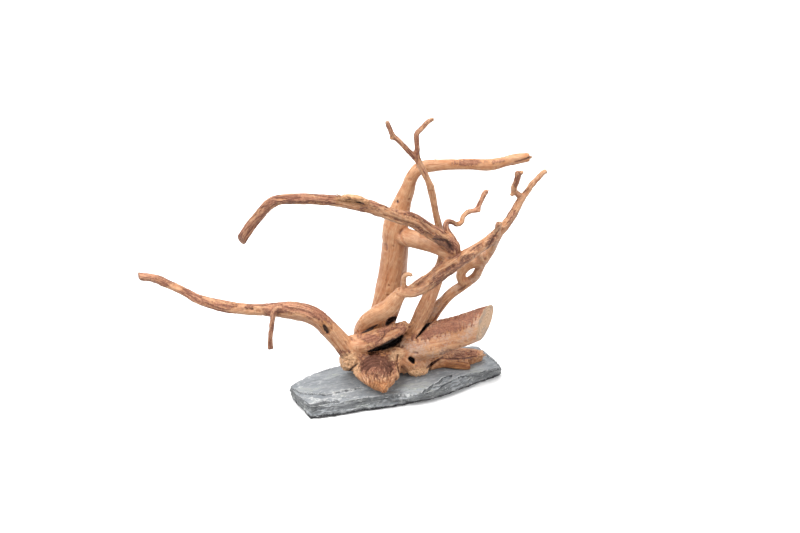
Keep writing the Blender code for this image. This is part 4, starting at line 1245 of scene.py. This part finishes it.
def wood_finish():
    """Stripped root wood: tan fibres, rests of brown bark, stains, torn and sawn wood, painted shade in
    cracks and recesses, painted highlights on ridges.
    """
    wood = Finish("stripped_root_wood", Specular_IOR_Level=0.45)
    grain = wood.vector_attribute("grain")
    broad = wood.noise(wood.stretched(grain, (1 / 3.2, 1 / 3.2, 1 / 30)), 3, 0.55)
    streak = wood.noise(wood.stretched(grain, (1 / 1.1, 1 / 1.1, 1 / 12)), 4, 0.62)
    fibre = wood.noise(wood.stretched(grain, (1 / 0.35, 1 / 0.35, 1 / 5)), 2, 0.6)
    blotch = wood.noise(wood.object_place(15, 15, 15), 3, 0.55)
    speckle = wood.noise(wood.object_place(1.7, 1.7, 1.7), 4, 0.65)
    seam, warm = wood.attribute("seam"), wood.attribute("warm")
    plain = (1 - seam) * (1.25 - wood.attribute("bare") * 0.95)
    fibres = (fibre - 0.5) * plain
    streaks = (streak - 0.5) * plain

    colour = wood.mix(broad.between(0.34, 0.66), shade(205, 149, 106), shade(168, 107, 66))
    colour = wood.mix((blotch + warm * 0.4).between(0.5, 0.95) * 0.7, colour, shade(180, 116, 70))
    colour = wood.mix((streaks + 0.5).between(0.5, 0.68) * 0.75, colour, shade(130, 74, 43))
    pale = wood.attribute("grey") * (blotch * 0.6 + speckle * 0.5).between(0.48, 0.68)
    colour = wood.mix(pale * 0.85, colour, shade(190, 162, 146))
    # Painted highlight: ridges and edges turn pale cream
    ridge = wood.attribute("ridge")
    colour = wood.mix(ridge * (0.75 - streak) * 1.3, colour, shade(236, 198, 158))
    torn = wood.attribute("torn")
    fibrous = wood.mix(streak.between(0.38, 0.64), shade(212, 146, 90), shade(152, 88, 50))
    colour = wood.mix(torn * 0.85, colour, fibrous)
    crumbs = wood.attribute("crumbs") * speckle.between(0.36, 0.56, 0.35, 1.0)

    solid = wood.attribute("solid")
    edge = wood.attribute("bark") + (speckle - 0.5) * 0.7 + streaks * (1.3 - solid)
    bark = edge.between(0.36, 0.62)
    mottle = (speckle * 0.5 + streaks * 1.3 + broad * 0.9 - 0.2).between(0.32, 0.66)
    skin = wood.mix(mottle, shade(190, 130, 99), shade(108, 60, 46))
    # Painted highlight on the ridges of the bark
    skin = wood.mix(ridge * (1 - mottle) * 0.55, skin, shade(222, 174, 138))
    patchy = (speckle + streaks * 0.8).between(0.35, 0.65)
    thick_bark = wood.mix(patchy, shade(164, 107, 81), shade(114, 67, 51))
    skin = wood.mix(solid * 0.8, skin, thick_bark)
    colour = wood.mix(bark * 0.9, colour, skin)
    lines = (streaks + speckle * 0.4).between(0.24, 0.36) * bark
    colour = wood.mix(lines * 0.32, colour, shade(92, 55, 44))
    stain = (wood.attribute("stain") + (speckle - 0.5) * 1.1 + streaks * 0.6).between(0.3, 0.8)
    colour = wood.mix(stain * 0.85, colour, shade(94, 52, 36))
    # Painted shade in recesses and between limbs, and the heel's own dark lines, turn the wood deep brown
    dirt = wood.attribute("dirt")
    colour = wood.mix(dirt.between(0.08, 0.85) * 0.8, colour, shade(84, 45, 29))
    colour = wood.mix(crumbs * 0.9, colour, shade(250, 202, 156))
    colour = wood.mix(fibre.between(0.3, 0.7, 0.0, 0.3), colour, shade(112, 70, 48))
    glint = (speckle.between(0.62, 0.72) * fibre.between(0.5, 0.62)) * 0.45
    colour = wood.mix(glint, colour, shade(242, 218, 192))

    x, y, _ = wood.parts(grain)
    offset = LIMB_OFFSET * list(LIMBS).index("sawn_stub")
    away = ((x - offset) ** 2.0 + (y - offset) ** 2.0) ** 0.5
    rings = (away * 2.3 + speckle * 2.2 + broad * 5.0 + blotch * 6.0).sine().between(-0.3, 1.0)
    face = wood.mix(rings * 0.6, shade(206, 170, 136), shade(166, 122, 90))
    face = wood.mix(blotch.between(0.42, 0.56) * 0.75, face, shade(154, 136, 122))
    sawn = wood.attribute("sawn").between(0.3, 0.7)
    colour = wood.mix(sawn, colour, face)
    # Painted shade: the bottoms of hollows, cracks and creases turn dark brown, the deepest near black
    soot = wood.attribute("soot") + (speckle - 0.5) * 0.7 + streaks * 0.6
    colour = wood.mix(soot.between(0.14, 0.5) * 0.75, colour, shade(84, 50, 38))
    colour = wood.mix(soot.between(0.5, 0.9), colour, shade(30, 18, 15))

    roughness = streak * 0.16 + 0.38 + bark * 0.2 + torn * 0.12 + sawn * 0.12
    height = fibres * 0.8 + streaks * 1.5 + bark * (speckle * 1.1) + torn * fibres + speckle * 0.35
    return wood.done(colour, roughness, height.socket, 0.7 * MM)


def slate_finish():
    """Cleft slate: blue-grey leaves, paler scuffs on their edges, a faint green cast, and painted shade in
    the cracks, underneath and along the foot.
    """
    slate = Finish("cleft_slate", Specular_IOR_Level=0.4)
    drift = slate.noise(slate.object_place(40, 15, 9), 4, 0.55)
    lengthwise = slate.noise(slate.object_place(11, 2.2, 1.1), 4, 0.62)
    strata = slate.noise(slate.object_place(16, 16, 0.6), 3, 0.6)
    grit = slate.noise(slate.object_place(0.8, 0.8, 0.8), 3, 0.65)
    patchy = slate.noise(slate.object_place(5, 3, 5), 4, 0.6)
    scratch = slate.noise(slate.object_place(5, 0.8, 4), 2, 0.5, 1.6)
    up = slate.parts(slate.node("ShaderNodeNewGeometry", {}, {}).outputs["Normal"])[2]
    side = up.between(0.35, 0.8, 1.0, 0.0)

    colour = slate.mix(drift.between(0.35, 0.66), shade(124, 128, 132), shade(155, 158, 161))
    colour = slate.mix(lengthwise.between(0.46, 0.68) * 0.55, colour, shade(102, 107, 111))
    colour = slate.mix(patchy.between(0.5, 0.66) * 0.45, colour, shade(174, 176, 176))
    greenish = drift.between(0.52, 0.6) * patchy.between(0.4, 0.6) * 0.4
    colour = slate.mix(greenish, colour, shade(136, 142, 124))
    layered = slate.mix(strata.between(0.36, 0.62), shade(78, 80, 82), shade(118, 119, 120))
    layered = slate.mix(patchy.between(0.45, 0.7) * 0.6, layered, shade(160, 160, 158))
    colour = slate.mix(side * 0.85, colour, layered)
    worn = (slate.attribute("edge") + (grit - 0.5) * 0.9).between(0.35, 0.8)
    scuff = (scratch.between(0.62, 0.72) * grit.between(0.42, 0.6)) * drift.between(0.42, 0.56)
    chalk = (slate.attribute("scuff") * 0.6 + (patchy - 0.5) * 3.0 + (grit - 0.5) * 1.2).between(0.42, 0.95)
    colour = slate.mix(worn.most(scuff).most(chalk) * 0.72, colour, shade(214, 215, 214))
    # Painted shade in the cracks and hollows
    colour = slate.mix(slate.attribute("crack").between(0.12, 0.8) * 0.92, colour, shade(44, 47, 50))
    colour = slate.mix(grit.between(0.3, 0.7, 0.0, 0.2), colour, shade(86, 90, 94))
    # Painted shade on faces that look down, and a painted contact shadow in a ragged near-black band along
    # the slab's lowest few millimetres
    low_down = slate.parts(slate.object_place(1, 1, 1))[2]
    painted_contact_shadow = (low_down + (patchy - 0.5) * 6.0 + (grit - 0.5) * 2.0).between(2.6, 3.9, 0.97, 0.0)
    colour = slate.mix(up.between(-0.75, -0.15, 0.75, 0.0).most(painted_contact_shadow), colour, shade(24, 24, 27))
    roughness = grit * 0.2 + lengthwise * 0.15 + 0.48
    height = grit * 0.35 + lengthwise * 0.6 + patchy * 0.5 + side * strata * 0.9
    return slate.done(colour, roughness, height.socket, 0.45 * MM)


def steel_finish():
    """The screw's turned stainless steel."""
    steel = Finish("turned_steel", Metallic=1.0)
    turned = steel.noise(steel.object_place(0.5, 0.5, 0.06), 2, 0.5)
    spots = steel.noise(steel.object_place(1.2, 1.2, 1.2), 3, 0.6)
    colour = steel.mix(spots.between(0.4, 0.7), shade(198, 198, 194), shade(168, 168, 166))
    return steel.done(colour, turned * 0.2 + 0.22, turned.socket, 0.02 * MM)


# Floor, light and camera

def make_stage():
    bpy.ops.object.select_all(action="DESELECT")
    bpy.ops.mesh.primitive_plane_add(size=FLOOR_SIZE, location=(0, 0, 0))
    floor = bpy.context.view_layer.objects.active
    floor.name = "floor"
    paper = Finish("white_paper", Roughness=0.9, Specular_IOR_Level=0.1)
    paper.shader.inputs["Base Color"].default_value = (0.95, 0.95, 0.95, 1)
    metres = paper.object_place(1000, 1000, 1000)
    spread = paper.node("ShaderNodeVectorMath", {"operation": "LENGTH"}, {0: metres})
    glow = Value(paper, spread.outputs["Value"]).between(2.0, 6.0)
    shine = paper.mix(glow, (0, 0, 0, 1), (0.9, 0.9, 0.9, 1))
    paper.tree.links.new(shine, paper.shader.inputs["Emission Color"])
    paper.shader.inputs["Emission Strength"].default_value = 1.0
    floor.data.materials.append(paper.material)
    floor.visible_diffuse = False

    world = bpy.data.worlds.new("studio")
    world.use_nodes = True
    sky = world.node_tree.nodes["Background"]
    sky.inputs["Color"].default_value = (1, 1, 1, 1)
    sky.inputs["Strength"].default_value = WORLD_STRENGTH
    bpy.context.scene.world = world

    middle = Vector((0, 0, 120 * MM))
    for name, across, up, nearer, size, power in LAMPS:
        light = bpy.data.lights.new(name, "AREA")
        light.shape = "SQUARE"
        light.size = size
        light.energy = power
        lamp = bpy.data.objects.new(name, light)
        lamp.location = middle + ACROSS * across - AWAY * nearer + Vector((0, 0, up))
        lamp.rotation_euler = (middle - lamp.location).to_track_quat("-Z", "Y").to_euler()
        bpy.context.scene.collection.objects.link(lamp)


def make_camera():
    lens = bpy.data.cameras.new("camera")
    lens.lens = SIGHT_LENS
    lens.sensor_width = SENSOR_WIDTH
    camera = bpy.data.objects.new("camera", lens)
    camera.location = EYE
    camera.rotation_euler = SIGHT.to_track_quat("-Z", "Y").to_euler()
    bpy.context.scene.collection.objects.link(camera)
    bpy.context.scene.camera = camera


def main():
    wood = wood_finish()
    root = make_root(wood)
    splinters(root, wood)
    make_slab(slate_finish())
    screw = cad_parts["mounting_screw"]
    screw.data.materials.clear()
    screw.data.materials.append(steel_finish())
    make_stage()
    make_camera()
    bpy.context.scene.view_settings.view_transform = "Standard"


main()
